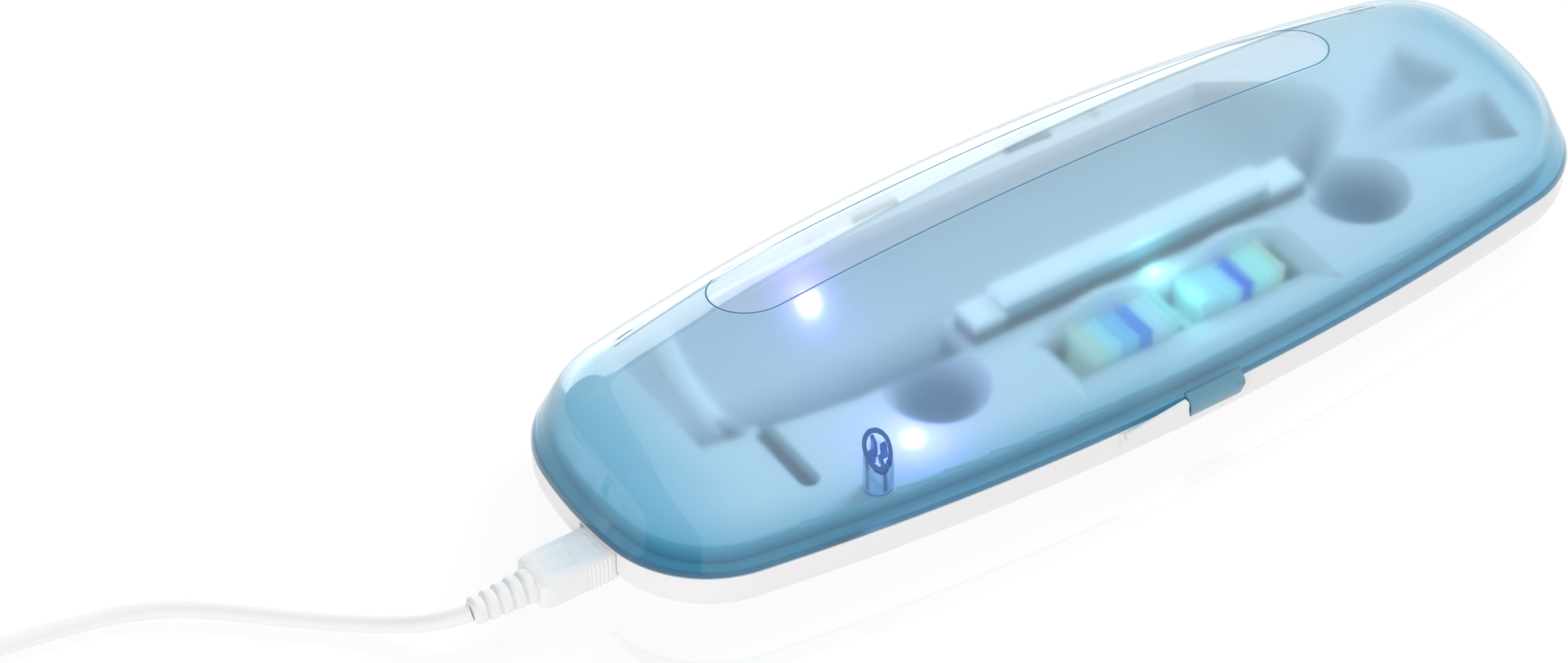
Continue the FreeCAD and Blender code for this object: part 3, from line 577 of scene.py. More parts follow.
def shoulder_frame(set_in, lowered, shrink):
    """For each column: inset and height where the shoulder starts, bends and ends, and its turn.

    The wall's line and the crown meet at a height that is found by repeated substitution. The
    shoulder reaches radius times tan(turn / 2) from there along both.
    """
    side_share = np.abs(outward[:, 1]) ** side_power
    radius = shoulder_end + (shoulder_side - shoulder_end) * side_share - shrink
    cross = np.full(columns, first_guess)
    for _ in range(rounds):
        cross = crown_height(inset(set_in + lean * (cross - lid_bottom)), lowered)
    d_cross = set_in + lean * (cross - lid_bottom)
    slope = (crown_height(inset(d_cross + step), lowered) - cross) / step
    turn = math.pi / 2 - tilt - np.arctan(slope)
    reach = radius * np.tan(turn / 2)
    z_wall = cross - reach * math.cos(tilt)
    d_wall = set_in + lean * (z_wall - lid_bottom)
    d_end = d_cross + reach * np.cos(np.arctan(slope))
    z_end = crown_height(inset(d_end), lowered)
    slope_end = (crown_height(inset(d_end + step), lowered) - z_end) / step
    d_mid = (z_end - slope_end * (d_end - set_in) - lid_bottom) / (1 / lean - slope_end) + set_in
    z_mid = lid_bottom + (d_mid - set_in) / lean
    return (d_wall, z_wall), (d_mid, z_mid), (d_end, z_end), turn


start_of_shoulder = shoulder_frame(0.0, 0.0, 0.0)[0]
print("the wall ends at heights, mm:", start_of_shoulder[1].min().round(2),
      start_of_shoulder[1].max().round(2))

# %% Lid form: all rows of a skin
wall_rows, shoulder_rows, crown_rows, window_rows = 9, 18, 10, 9


def lid_skin(set_in, lowered, shrink, grooved):
    """Rows from the lid's foot up to the window's midline, as a (rows, columns, 3) grid.

    The shoulder's rows are a weighted mean of its three points, the middle one by cos(turn / 2).
    """
    (d_wall, z_wall), (d_mid, z_mid), (d_end, z_end), turn = shoulder_frame(set_in, lowered, shrink)
    z_rows = lid_bottom + np.linspace(0, 1, wall_rows)[:, None] * (z_wall - lid_bottom)
    rows = [with_height(inset(set_in + lean * (z - lid_bottom)), z) for z in z_rows]
    for t in np.linspace(0, 1, shoulder_rows)[1:]:
        a, b, c = (1 - t) ** 2, 2 * t * (1 - t) * np.cos(turn / 2), t * t
        total = a + b + c
        rows.append(with_height(inset((a * d_wall + b * d_mid + c * d_end) / total),
                                (a * z_wall + b * z_mid + c * z_end) / total))
    start, loop = inset(d_end), window_loop(groove[-1])[0]
    crown = [(start * (1 - t) + loop * t, 0.0) for t in np.linspace(0, 1, crown_rows)[1:]]
    crown += [(window_loop(out)[0], deep if grooved else 0.0)
              for out, deep in list(zip(groove[::-1], groove_depth[::-1]))[1:]]
    loop, middle = window_loop(0.0)
    crown += [(loop * (1 - t) + middle * t, 0.0) for t in np.linspace(0, 1, window_rows)[1:]]
    rows += [with_height(xy, crown_height(xy, lowered) - deep) for xy, deep in crown]
    return np.stack(rows)


lid_wall = 1.8
skew = lid_wall / math.cos(tilt)
outer_skin = lid_skin(0.0, 0.0, 0.0, True)
inner_skin = lid_skin(skew, lid_wall, lid_wall, False)
print("each skin has", len(outer_skin), "rows")

# %% [markdown]
# ## The lid's closed wall
# The outer skin and the inner skin are joined at the foot by a small rounded lip, which makes the
# lid one closed wall. The skins get different finishes, and inside the window's line both are
# clear. The window's line itself is a shallow moulded groove; its dark opaque finish is painted
# shade, the thin dark line that the groove shows in the clear plastic.

# %% Lid: one closed wall
foot_drop, foot_lift = 0.12, 0.05
foot_turns = np.linspace(0, math.pi, 5)[1:-1]
foot_rows = [with_height(inset(skew / 2 * (1 - math.cos(t))), lid_bottom - foot_drop * math.sin(t))
             for t in foot_turns]
outer_skin[0, :, 2] += foot_lift
lid_grid = np.concatenate([outer_skin[::-1], np.stack(foot_rows), inner_skin])
skin_steps, window_steps, groove_steps = len(outer_skin) - 1, window_rows - 1, len(groove) - 1
lid_parts = ((lid_window, window_steps), (groove_painted_shade, groove_steps),
             (lid_gloss, skin_steps - window_steps - groove_steps), (lip_blue, len(foot_turns) + 1),
             (lid_frost, skin_steps - window_steps), (window_clear, window_steps))
face_slots = np.repeat(np.arange(len(lid_parts)), [steps * columns for _, steps in lid_parts])
lid = grid_object("lid_skin", lid_grid, slots=face_slots)


def dress(piece, body, slot, *materials):
    """Gives a piece its finishes and the body that it moves with; slot is not used."""
    for material in materials:
        piece.data.materials.append(material)
    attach(piece, body)


dress(lid, "lid", "tinted_lid", *[material for material, _ in lid_parts])
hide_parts("lid_shell")
print("lid faces:", len(lid.data.polygons))

# %% [markdown]
# ## The press post
# A press post under the lid closes the lamp's switch when the lid is shut. It is a tube with a
# cross of ribs in its bore and a floor half way up. Its top ends inside the lid's wall, just under
# the outer skin, so its height is worked out from the skin's own rows. Its outer wall is clear.
# Its bore and floor glow violet, and its ends and ribs faintly blue: painted light.

# %% Press post: the tube
post_x, post_y, post_radius, post_bore, post_foot = -66.0, -29.3, 2.9, 2.0, 15.3
# Painted light: the post's ends and ribs glow faintly blue, and its bore and floor violet.
post_blue_painted_glow = finish("post_blue_painted_glow", (0.015, 0.12, 0.36), 0.25, 2000, 0.05, 0.1, coat=0.5,
                   glow=(0.03, 0.2, 0.55), strength=0.12)
post_wall = finish("post_wall", (0.30, 0.55, 0.72), 0.3, 2000, 0.05, 0.1, see_through=0.6)
post_core_painted_glow = finish("post_core_painted_glow", (0.45, 0.55, 0.85), 0.4, 2000, 0.05, 0.05,
                   glow=(0.55, 0.62, 1.0), strength=0.9)


def lid_top_near(x, y, below):
    """Height of the lid's outer skin, less below: the mean of the four nearest grid points.

    Each one weighs the inverse of its squared distance.
    """
    flat = outer_skin.reshape(-1, 3)
    gap = (flat[:, 0][None, :] - np.ravel(x)[:, None]) ** 2
    gap = gap + (flat[:, 1][None, :] - np.ravel(y)[:, None]) ** 2
    near = np.argsort(gap, axis=1)[:, :4]
    weight = 1.0 / (np.take_along_axis(gap, near, 1) + 0.01)
    z = (flat[:, 2][near] * weight).sum(1) / weight.sum(1)
    return z.reshape(np.shape(x)) - below


def press_post(turns=48, below=0.15):
    """Tube: outer wall up, sloping top under the skin, bore down; radius and height per row."""
    rows = []
    for radius, at_top in ((post_bore, 0), (post_radius, 0), (post_radius, 1), (post_bore, 1)):
        ring = turned(turns, radius, (post_x, post_y))
        rows.append(with_height(ring, lid_top_near(*ring.T, below) if at_top else post_foot))
    slots = np.repeat([0, 1, 0, 2], turns)
    return grid_object("press_post", np.stack(rows + rows[:1]), slots=slots, smooth=False)


post = soften(press_post(), 0.12, segments=2, angle=50)
dress(post, "lid", "tinted_lid", post_blue_painted_glow, post_wall, post_core_painted_glow)
print("post top, mm:", float(lid_top_near(post_x, post_y, 0.0).round(2)))

# %% Press post: the ribs and the bore's floor
rib_half_thick, rib_inner, rib_sink, rib_clear = 0.35, 0.75, 0.2, 0.5
bore_floor, floor_thick = 6.0, 0.6


def rib_plate(name, along_x, sign):
    """A thin upright plate from the bore's wall towards its axis, its top under the skin."""
    run = np.linspace(rib_inner, post_bore + rib_sink, 5) * sign
    side = np.array([-rib_half_thick, rib_half_thick])
    r, s = np.meshgrid(run, side, indexing="ij")
    x, y = (post_x + r, post_y + s) if along_x else (post_x + s, post_y + r)
    top = np.stack([x, y, lid_top_near(x, y, 0.3)], axis=-1)
    foot = np.stack([x, y, np.full(x.shape, post_foot + rib_clear)], axis=-1)
    grid = np.stack([foot[:, 0], foot[:, 1], top[:, 1], top[:, 0]])
    return grid_object(name, np.swapaxes(grid, 0, 1), caps=True, smooth=False)


for name, along_x, sign in (("right", True, 1), ("left", True, -1), ("back", False, 1),
                            ("front", False, -1)):
    dress(rib_plate(f"post_rib_{name}", along_x, sign), "lid", "tinted_lid", post_blue_painted_glow)
bore = turned(32, post_bore, (post_x, post_y))
core_rows = [with_height(bore, post_foot + bore_floor),
             with_height(bore, post_foot + bore_floor + floor_thick)]
core = grid_object("post_floor", np.stack(core_rows), caps=True, smooth=False)
dress(core, "lid", "tinted_lid", post_core_painted_glow)
print("made the cross of ribs and", core.name)

# %% [markdown]
# ## Latch tab, ledge and hinge arms
# A tab at the front lies over the base's rim, beside a white ledge that a thumb finds. Two arms at
# the back hold the hinge pin. Each is one profile carried along X, with its edges softened.

# %% Latch tab and the ledge's lip
tab_blue = finish("tab_blue", (0.16, 0.44, 0.60), 0.1, 2000, 0.05, 0.1, coat=1.0, see_through=0.5)
latch_y, tab_foot = half_width + 1.7, 8.2
tab_profile = [(-38.9, 11.5), (-38.9, 12.9), (-39.9, 12.6), (-latch_y + 0.6, 11.6),
               (-latch_y, 10.8), (-latch_y, 9.0), (-latch_y + 0.4, tab_foot), (-40.45, tab_foot),
               (-40.45, 11.3)]
tab_left = np.full(len(tab_profile), -1.1)
tab_right = np.array([12.3, 12.3, 12.3, 12.3, 12.2, 11.2, 10.6, 10.6, 12.3])
tab = sweep_x("latch_tab", tab_profile, [tab_left, tab_left + 0.6, tab_right - 0.8, tab_right], 0.3)
dress(tab, "lid", "tinted_lid", tab_blue)
ledge_low = np.array([(-latch_y, 9.6), (-latch_y, 10.5), (-latch_y + 0.35, 10.9), (-40.5, 10.9),
                      (-40.5, 9.6)])
ledge_rise = np.array([0.0, 1.6, 1.7, 1.7, 0.0])
ledge_high = ledge_low + np.column_stack([0.0 * ledge_rise, ledge_rise])
ledge_rows = [np.column_stack([np.full(len(line), x), line]) for x, line in
              ((-16.4, ledge_low), (-15.9, ledge_low), (-2.2, ledge_high), (-1.7, ledge_high))]
ledge_lip = grid_object("ledge_lip", np.stack(ledge_rows), caps=True, smooth=False)
dress(soften(ledge_lip, 0.2), "base", "case_white", case_white)
print("tab and ledge stand out to y, mm:", round(-latch_y, 2))

# %% Hinge arms
arm_blue = finish("arm_blue", (0.62, 0.80, 0.90), 0.2, 2000, 0.05, 0.1, see_through=0.6)
hinge_y, hinge_z, knuckle_radius = 39.6, 8.4, 2.4
arm_spans = {"left": (-24.0, -14.0), "right": (14.0, 24.0)}
arm_web = [(37.6, 10.4), (38.4, 11.4), (38.4, 12.7), (40.6, 12.7), (41.6, 12.0), (41.9, 10.6)]


def arm_profile():
    """A round knuckle below and a flat web above, as one closed (y, z) line."""
    a = np.linspace(0, -math.pi, 20)
    circle = np.column_stack([hinge_y + knuckle_radius * np.cos(a),
                              hinge_z + knuckle_radius * np.sin(a)])
    return np.concatenate([circle, arm_web])


for side, span in arm_spans.items():
    dress(sweep_x(f"hinge_arm_{side}", arm_profile(), span, 0.2), "lid", "tinted_lid", arm_blue)
print("hinge arms:", list(arm_spans))

# %% [markdown]
# ## Rim seal and bay rib
# A flat white lip runs round the inside of the base, just under the lid's foot. It hides the gap
# beside the tray and keeps dust out. The rib is a low arch across the left end of the handle's
# bay, where the handle's butt stops; it follows the bay's round floor and fades out at both ends.
# It glows faintly, painted light that keeps it bright.

# %% Rim seal
rim_white = finish("rim_white", (0.85, 0.87, 0.89), 0.45, 3000, 0.12, 0.04)
seal_top, seal_foot, seal_inner, seal_by_hinge, seal_elsewhere = 10.9, 10.1, 5.0, 4.2, 1.85
by_hinge = (np.abs(edge[:, 0]) < 37.0) & (edge[:, 1] > 0)
seal_outer = np.where(by_hinge, seal_by_hinge, seal_elsewhere)
seal_rows = [with_height(inset(d), z) for d, z in (
    (seal_outer, seal_foot), (seal_outer, seal_top), (seal_inner, seal_top),
    (seal_inner, seal_foot), (seal_outer, seal_foot))]
rim_seal = grid_object("rim_seal", np.stack(seal_rows), smooth=False)
dress(rim_seal, "base", "tray_white", rim_white)
print("seal columns beside the hinge:", int(by_hinge.sum()))

# %% Bay rib
# The rib's faint glow is painted light.
rib_white_painted_glow = finish("rib_white_painted_glow", (0.92, 0.94, 0.95), 0.4, 3000, 0.1, 0.03,
                   glow=(0.8, 0.95, 1.0), strength=0.1)
bay_axis_y, bay_axis_z, bay_radius_there = 12.0, 28.34, 21.48
rib_x, rib_half, rib_height, rib_flare, rib_depth = -77.0, 2.6, 2.0, 0.3, 0.5
rib_front_turn, rib_back_turn, rib_front_fade, rib_back_fade = -22, 50, 0.35, 0.12
rib_fullness = 0.7


def bay_rib():
    """Arc about the bay's axis; height is a raised cosine across and fades at both ends."""
    across = np.linspace(-1, 1, 17)[None]
    turn = np.radians(np.linspace(rib_front_turn, rib_back_turn, 70))[:, None]
    fade = smooth_step((turn - turn[0]) / rib_front_fade)
    fade = fade * smooth_step((turn[-1] - turn) / rib_back_fade)
    height = rib_height * np.cos(across * math.pi / 2) ** rib_fullness * fade
    sheets = []
    for radius in (bay_radius_there + across * rib_flare - height,
                   np.full(height.shape, bay_radius_there + rib_depth)):
        x = np.broadcast_to(rib_x + across * rib_half, radius.shape)
        sheets.append(np.stack([x, bay_axis_y + radius * np.sin(turn),
                                bay_axis_z - radius * np.cos(turn)], axis=-1))
    top, foot = sheets
    return grid_object("bay_rib", np.concatenate([top, foot[:, ::-1]], axis=1), caps=True)


arch = bay_rib()
dress(arch, "base", "tray_white", rib_white_painted_glow)
print(arch.name, len(arch.data.polygons), "faces")

# %% [markdown]
# ## The brush heads' tufts
# A brush head carries rows of nylon tufts. Each tuft is a short eight-sided post that flares a
# little, and all of them are made at once by adding every tuft's place to one small ring. The
# outer tufts are taller, and their colour changes in bands along the head.

# %% Tufts: the posts
tuft_sides, tuft_radius, tuft_pitch, tuft_lines = 8, 0.72, 1.95, 6
tuft_floor, tuft_tip, tuft_sink = 9.0, 16.6, 0.2
tuft_foot_share, tuft_tip_share, tuft_shoulder = 0.85, 0.6, 0.35
field_half_width, field_reach, field_start, field_end, field_limit = 3.9, 4.8, 2.4, 2.3, 1.05
middle_dip, edge_rise, side_rise = 1.2, 1.0, 0.25


def tufts(name, low, high, y):
    """Columns by rows of flared posts between x low and high, about the centre line y.

    A place is kept where its share of the half length to the fourth power, and the same across,
    add up to less than about one. The tips rise with the square of the share.
    """
    xs = np.arange(low + field_start, high - field_end, tuft_pitch)
    ys = y + np.linspace(-field_half_width, field_half_width, tuft_lines)
    gx, gy = [g.ravel() for g in np.meshgrid(xs, ys, indexing="ij")]
    share = (gx - (low + high) / 2) / (high - low) * 2
    keep = np.abs(share) ** 4 + (np.abs(gy - y) / field_reach) ** 4 < field_limit
    gx, gy, share = gx[keep], gy[keep], share[keep]
    top = (tuft_tip - middle_dip + edge_rise * share ** 2
           + side_rise * np.abs(gy - y) / field_half_width)
    at = np.stack([gx, gy], axis=-1)[:, None]
    rows = [with_height(at + turned(tuft_sides, radius)[None], z) for radius, z in (
        (tuft_radius * tuft_foot_share, tuft_floor - tuft_sink),
        (tuft_radius, (top - tuft_shoulder)[:, None]),
        (tuft_radius * tuft_tip_share, top[:, None]))]
    grid = np.stack(rows, axis=1)
    first = np.arange(len(gx))[:, None] * 3 * tuft_sides
    ring = np.arange(tuft_sides)[None]
    walls = first[:, :, None] + np.array(grid_faces(3, tuft_sides))[None]
    faces = walls.reshape(-1, 4).tolist() + (first + 2 * tuft_sides + ring).tolist()
    return mesh_object(name, grid.reshape(-1, 3), faces + (first + ring).tolist())


print("lines of tufts on a head:", tuft_lines)

# %% Tufts: the bands of colour
# The tufts' glow is painted light from the ultraviolet tube beside them.
band_start, band_end, tuft_painted_lamp_glow = -13.0, 37.0, 0.3
band_stops = [(0.0, (0.55, 0.72, 0.62)), (0.1, (0.45, 0.75, 0.78)), (0.16, (0.25, 0.6, 0.78)),
              (0.25, (0.06, 0.28, 0.72)), (0.31, (0.55, 0.78, 0.82)), (0.4, (0.42, 0.78, 0.74)),
              (0.56, (0.45, 0.74, 0.78)), (0.68, (0.45, 0.78, 0.84)), (0.75, (0.03, 0.16, 0.72)),
              (0.81, (0.5, 0.84, 0.76)), (0.92, (0.58, 0.74, 0.62))]


def bristle_material():
    """Nylon in bands of colour along the head; its glow is painted light from the lamp beside it.
    """
    material = finish("bristle_bands", band_stops[0][1], 0.5, 2500, 0.3, strength=tuft_painted_lamp_glow,
                      glow=band_stops[0][1])
    tree = material.node_tree
    shader = tree.nodes["Principled BSDF"]
    bands = add(tree, "ShaderNodeValToRGB")
    ramp = bands.color_ramp
    ramp.interpolation = "CONSTANT"
    ramp.elements[0].color = (*band_stops[0][1], 1)
    ramp.elements[1].position, ramp.elements[1].color = band_stops[1][0], (*band_stops[1][1], 1)
    for at, colour in band_stops[2:]:
        ramp.elements.new(at).color = (*colour, 1)
    along = ramp_of(tree, place_in(tree)["X"], band_start * MM, band_end * MM, soft=False)
    tree.links.new(along, bands.inputs["Fac"])
    skin = [node for node in tree.nodes if node.type == "GROUP"][0]
    tree.links.new(bands.outputs["Color"], skin.inputs["Color"])
    tree.links.new(bands.outputs["Color"], shader.inputs["Emission Color"])
    return material


bristle_bands = bristle_material()
head_y = -19.3
for side in ("left", "right"):
    low, high = [c[0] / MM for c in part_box(f"brush_head_{side}")]
    brush = tufts(f"tufts_{side}", low, high, head_y)
    dress(brush, "base", "bristle", bristle_bands)
    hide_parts(f"bristles_{side}")
    print(brush.name, len(brush.data.polygons), "faces, x", round(low, 1), round(high, 1))

# %% [markdown]
# ## The plug and its sleeve
# The micro-USB plug has an overmoulded grip: a rounded block with a shallow recess on top, fine
# upright ribs on its sides near the case, and a rounded back. Its sections are rounded rectangles,
# given by a superellipse, carried along X. The sleeve behind it is a turned shape, with rings that
# get smaller so that the lead bends gently.

# %% Rounded sections along X
lead_white = finish("lead_white", (0.86, 0.86, 0.865), 0.42, 2600, 0.1, 0.04)


def rounded_section(count, squareness):
    """Superellipse: cosine and sine raised to 2 / squareness, with their signs kept."""
    circle = turned(count).T
    return np.sign(circle) * np.abs(circle) ** (2.0 / squareness)


def end_round(distance, run, least):
    """A quarter ellipse that grows from least to 1 over run, as the distance from an end grows."""
    t = np.clip(distance / run, 0, 1)
    return least + (1 - least) * np.sqrt(1 - (1 - t) ** 2)


def block_along_x(name, x, y, z, centre):
    """Sections at each x, given about a centre (y, z), made into one closed piece."""
    x = np.broadcast_to(x[:, None], y.shape)
    return grid_object(name, np.stack([x, centre[0] + y, centre[1] + z], axis=-1), caps=True)


print("a section's widest and tallest point:", rounded_section(160, 5.0).max(axis=1))

# %% Plug grip
usb_y, usb_z = -8.2, 6.8
grip_front, grip_back = -113.5, -129.5
grip_half_y, grip_half_z, grip_squareness = 5.3, 3.75, 5.0
grip_back_round, grip_front_round = (3.2, 0.78), (0.5, 0.97)
rib_start, rib_end, rib_pitch, plug_rib_depth, side_wall = 1.0, 6.4, 0.9, 0.16, 0.93
recess_start, recess_end, recess_half, recess_depth = 7.0, 13.6, 3.0, 0.3
recess_slope, recess_side_slope = 0.5, 0.4
dot_at, dot_side, dot_height, dot_spread = 2.6, 1.9, 0.22, 0.16


def plug_grip():
    """Superellipse sections; the side walls carry ribs, and the top a shallow recess.

    The ribs are a cosine along X, the recess is a product of three smooth steps, and each of the
    two dots is a small bell.
    """
    x = np.linspace(grip_front, grip_back, 110)
    cy, cz = rounded_section(160, grip_squareness)[:, None]
    scale = end_round(x - grip_back, *grip_back_round)
    scale = scale * end_round(grip_front - x, *grip_front_round)
    y = grip_half_y * scale[:, None] * cy
    z = grip_half_z * scale[:, None] * cz
    along = (grip_front - x)[:, None]
    ribbed = (along > rib_start) * (along < rib_end) * (np.abs(cy) > side_wall)
    wave = 0.5 + 0.5 * np.cos(2 * math.pi * along / rib_pitch)
    y = y - np.sign(y) * ribbed * plug_rib_depth * wave
    on_top = cz > 0.5
    recess = smooth_step((along - recess_start) / recess_slope)
    recess = recess * smooth_step((recess_end - along) / recess_slope)
    recess = recess * smooth_step((recess_half - np.abs(y)) / recess_side_slope) * on_top
    dots = np.exp(-((along - dot_at) ** 2 + (np.abs(y) - dot_side) ** 2) / dot_spread) * on_top
    z = z - recess_depth * recess + dot_height * dots
    return block_along_x("plug_grip", x, y, z, (usb_y, usb_z))


grip = plug_grip()
print(grip.name, len(grip.data.polygons), "faces")


# %% Sleeve behind the plug
def lathe_x(name, stations, centre, turns=64):
    """A turned shape about an axis along X: stations are (x, radius)."""
    x, radius = np.asarray(stations, dtype=float).T
    y, z = [radius[:, None] * ring for ring in turned(turns).T]
    return block_along_x(name, x, y, z, centre)


sleeve_length, sleeve_first, sleeve_last, sleeve_rings, sleeve_overlap = 13.2, 3.5, 2.7, 5, 0.25
ring_share, ring_shoulder, ring_height = 0.76, 0.1, 0.62
end_runs, end_drops = [0.12, 0.2, 0.26, 0.28], [0.04, 0.14, 0.32, 0.5]


def sleeve_stations(start, length, first, last, rings):
    """Raised rings with soft shoulders over a thinner core, from start towards -X."""
    t = np.linspace(0, 1, rings * 16 + 1)[:-3]
    phase = (t * rings) % 1.0
    ring = smooth_step(phase / ring_shoulder) * smooth_step((ring_share - phase) / ring_shoulder)
    radius = first + (last - first) * t - ring_height * (1 - ring)
    x = start - length * t
    return np.column_stack([np.concatenate([x, x[-1] - end_runs]),
                            np.concatenate([radius, radius[-1] - end_drops])])


sleeve = lathe_x("lead_sleeve", sleeve_stations(grip_back + sleeve_overlap, sleeve_length,
                                                sleeve_first, sleeve_last, sleeve_rings),
                 (usb_y, usb_z))
print(sleeve.name, len(sleeve.data.polygons), "faces")

# %% The far end's plug
usb_a_y, usb_a_z = 96.8, 4.1
collar_start, collar_length, collar_radius, collar_flare = -241.0, 8.2, 2.2, 1.4
far_back, far_front, far_half_y, far_half_z, far_squareness = -233.0, -206.0, 7.7, 4.0, 5.5
far_back_round, far_front_round = (3.0, 0.75), (0.8, 0.95)
waist_x, waist_depth, waist_run = -219.0, 0.5, 5.0
collar = np.linspace(0, 1, 12)
collar_stations = np.column_stack([collar_start + collar_length * collar,
                                   collar_radius + collar_flare * smooth_step(collar)])
usb_a_sleeve = lathe_x("usb_a_sleeve", collar_stations, (usb_a_y, usb_a_z))


def usb_a_grip():
    """The USB-A plug's grip: rounded block with a bell-shaped waist for the fingers."""
    x = np.linspace(far_back, far_front, 60)
    cy, cz = rounded_section(96, far_squareness)[:, None]
    scale = end_round(x - far_back, *far_back_round) * end_round(far_front - x, *far_front_round)
    waist = waist_depth * np.exp(-((x - waist_x) / waist_run) ** 2)
    y = (far_half_y * scale - waist)[:, None] * cy
    z = (far_half_z * scale)[:, None] * cz
    return block_along_x("usb_a_grip", x, y, z, (usb_a_y, usb_a_z))


far_grip = usb_a_grip()
for piece, node in ((grip, "usb_plug"), (sleeve, "strain_relief"), (usb_a_sleeve, "usb_a_relief"),
                    (far_grip, "usb_a_plug")):
    dress(piece, "base", "lead_white", lead_white)
    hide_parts(node)
print("the lead's ends are dressed")

# %% [markdown]
# ## The lead's finish
# The lead gets the white finish and rides on the base, like its plugs, and the frame's solids for
# the cable are hidden. Such a lead is about a metre long in all.

# %% The lead's finish
dress(lead, "base", "lead_white", lead_white)
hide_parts("cable_run", "cable_coil", "cable_tail")

# %% [markdown]
# ## The frame's own solids
# The base, the tray, the lamp and the small parts keep their solids. Their meshes are triangles
# that aren't joined, so each gets a small geometry modifier that joins them and shades them
# smoothly up to a sharp edge.

# %% Smooth shading for the kept solids
merge_distance, sharp_edge = 2e-6, math.radians(28)


def smooth_tree(limit):
    """Merge by distance, then smooth faces, with edges sharper than limit left sharp."""
    tree = bpy.data.node_groups.new("smooth_solid", "GeometryNodeTree")
    tree.interface.new_socket(name="Geometry", in_out="INPUT", socket_type="NodeSocketGeometry")
    tree.interface.new_socket(name="Geometry", in_out="OUTPUT", socket_type="NodeSocketGeometry")
    start, end = tree.nodes.new("NodeGroupInput"), tree.nodes.new("NodeGroupOutput")
    merge = add(tree, "GeometryNodeMergeByDistance", in_Distance=merge_distance)
    faces = add(tree, "GeometryNodeSetShadeSmooth")
    edges = add(tree, "GeometryNodeSetShadeSmooth", domain="EDGE")
    angle = add(tree, "GeometryNodeInputMeshEdgeAngle")
    soft = add(tree, "FunctionNodeCompare", data_type="FLOAT", operation="LESS_EQUAL")
    soft.inputs[1].default_value = limit
    tree.links.new(start.outputs[0], merge.inputs["Geometry"])
    tree.links.new(merge.outputs[0], faces.inputs["Geometry"])
    tree.links.new(faces.outputs[0], edges.inputs["Geometry"])
    tree.links.new(angle.outputs["Unsigned Angle"], soft.inputs[0])
    tree.links.new(soft.outputs[0], edges.inputs["Shade Smooth"])
    tree.links.new(edges.outputs[0], end.inputs[0])
    return tree


smooth_solid = smooth_tree(sharp_edge)
print("group", smooth_solid.name, "has", len(smooth_solid.nodes), "nodes")

# %% [markdown]
# ## White plastic with painted shade in its hollows
# Little light reaches the bottom of the tray's hollows through the lid. So the shade is painted:
# the tray's white, and that of the lamp's housing, gets darker with depth, as a colour on the
# surface.
# The big bay at the back is open to the light and stays paler. The housing also has a painted glow.

# %% Painted shade in the whites
open_bands, open_share = (("Y", -1.0, 14.0), ("X", 82.0, 98.0)), 0.72


def paint_depth_shade(material, deep, low, high, open_back=False, glow=0.0):
    """Paints shade into a finish, darker towards the bottom of its hollows, between two heights in
    mm.

    With open_back, the back half and the right end stay nearly as light as the deck. The glow,
    painted light, follows the colour.
    """
    tree = material.node_tree
    skin = [node for node in tree.nodes if node.type == "GROUP"][0]
    place = place_in(tree)
    shade = ramp_of(tree, place["Z"], low * MM, high * MM)
    for axis, start, end in open_bands if open_back else ():
        away = ramp_of(tree, place[axis], start * MM, end * MM, high=open_share, soft=False)
        shade = math_of(tree, "MAXIMUM", away, shade)
    colour = mix_of(tree, shade, deep, tuple(skin.inputs["Color"].default_value)[:3])
    tree.links.new(colour, skin.inputs["Color"])
    if glow > 0.0:
        shader = tree.nodes["Principled BSDF"]
        tree.links.new(colour, shader.inputs["Emission Color"])
        shader.inputs["Emission Strength"].default_value = glow
    return material


# The tray's white gets painted shade, dark blue towards the bottom of its hollows.
tray_white = paint_depth_shade(finish("tray_white", (0.85, 0.87, 0.89), 0.45, 3000, 0.12, 0.04),
                    (0.11, 0.19, 0.28), 8.5, 15.2, open_back=True)
# The housing's white gets painted shade towards its foot, and a faint painted glow.
housing_shade_and_glow = paint_depth_shade(finish("housing_shade_and_glow", (0.93, 0.95, 0.96), 0.35, 3000, 0.08, 0.03),
                       (0.10, 0.14, 0.19), 16.2, 19.2, glow=0.22)
print("made", tray_white.name, "and", housing_shade_and_glow.name)

# %% [markdown]
# ## Metals, rubber, glass and lamps
# The small parts inside get the finishes of their trades: drawn steel for pins and screws, nickel
# on the plugs, bright sheet behind the lamp, green varnish on the board. The ultraviolet tube and
# the two signal lights shine a little by themselves.

# %% Finishes of the small parts
steel = finish("drawn_steel", (0.62, 0.62, 0.64), 0.25, 5000, 0.2, 0.1, metal=1.0)
nickel = finish("nickel_plate", (0.72, 0.71, 0.69), 0.16, 4000, 0.08, 0.06, metal=1.0)
sheet_metal = finish("polished_sheet", (0.86, 0.87, 0.89), 0.08, 4000, 0.03, 0.04, metal=1.0)
copper_wire = finish("copper_wire", (0.72, 0.3, 0.12), 0.3, 1800, 0.5, 0.2, metal=1.0)
soft_rubber = finish("soft_rubber", (0.62, 0.63, 0.65), 0.7, 1800, 0.25, 0.06)
solder_mask = finish("solder_mask", (0.03, 0.21, 0.1), 0.3, 1500, 0.1, 0.12)
ferrite = finish("ferrite", (0.06, 0.06, 0.065), 0.6, 2200, 0.4, 0.1)
epoxy_black = finish("epoxy_black", (0.02, 0.02, 0.022), 0.4, 2600, 0.15, 0.1)
tie_grey = finish("tie_grey", (0.2, 0.2, 0.21), 0.5, 2200, 0.2, 0.1)
head_white = finish("head_white", (0.83, 0.87, 0.88), 0.25, 3000, 0.05, 0.03)
lamp_glass = finish("lamp_glass", (0.18, 0.3, 0.36), 0.12, 1200, 0.02, 0.03,
                    glow=(0.3, 0.9, 0.95), strength=0.12)
led_lens = finish("led_lens", (0.9, 0.9, 1.0), 0.1, 1200, 0.02, 0.02,
                  glow=(0.62, 0.55, 1.0), strength=14.0)
print("finishes made:", len(bpy.data.materials))

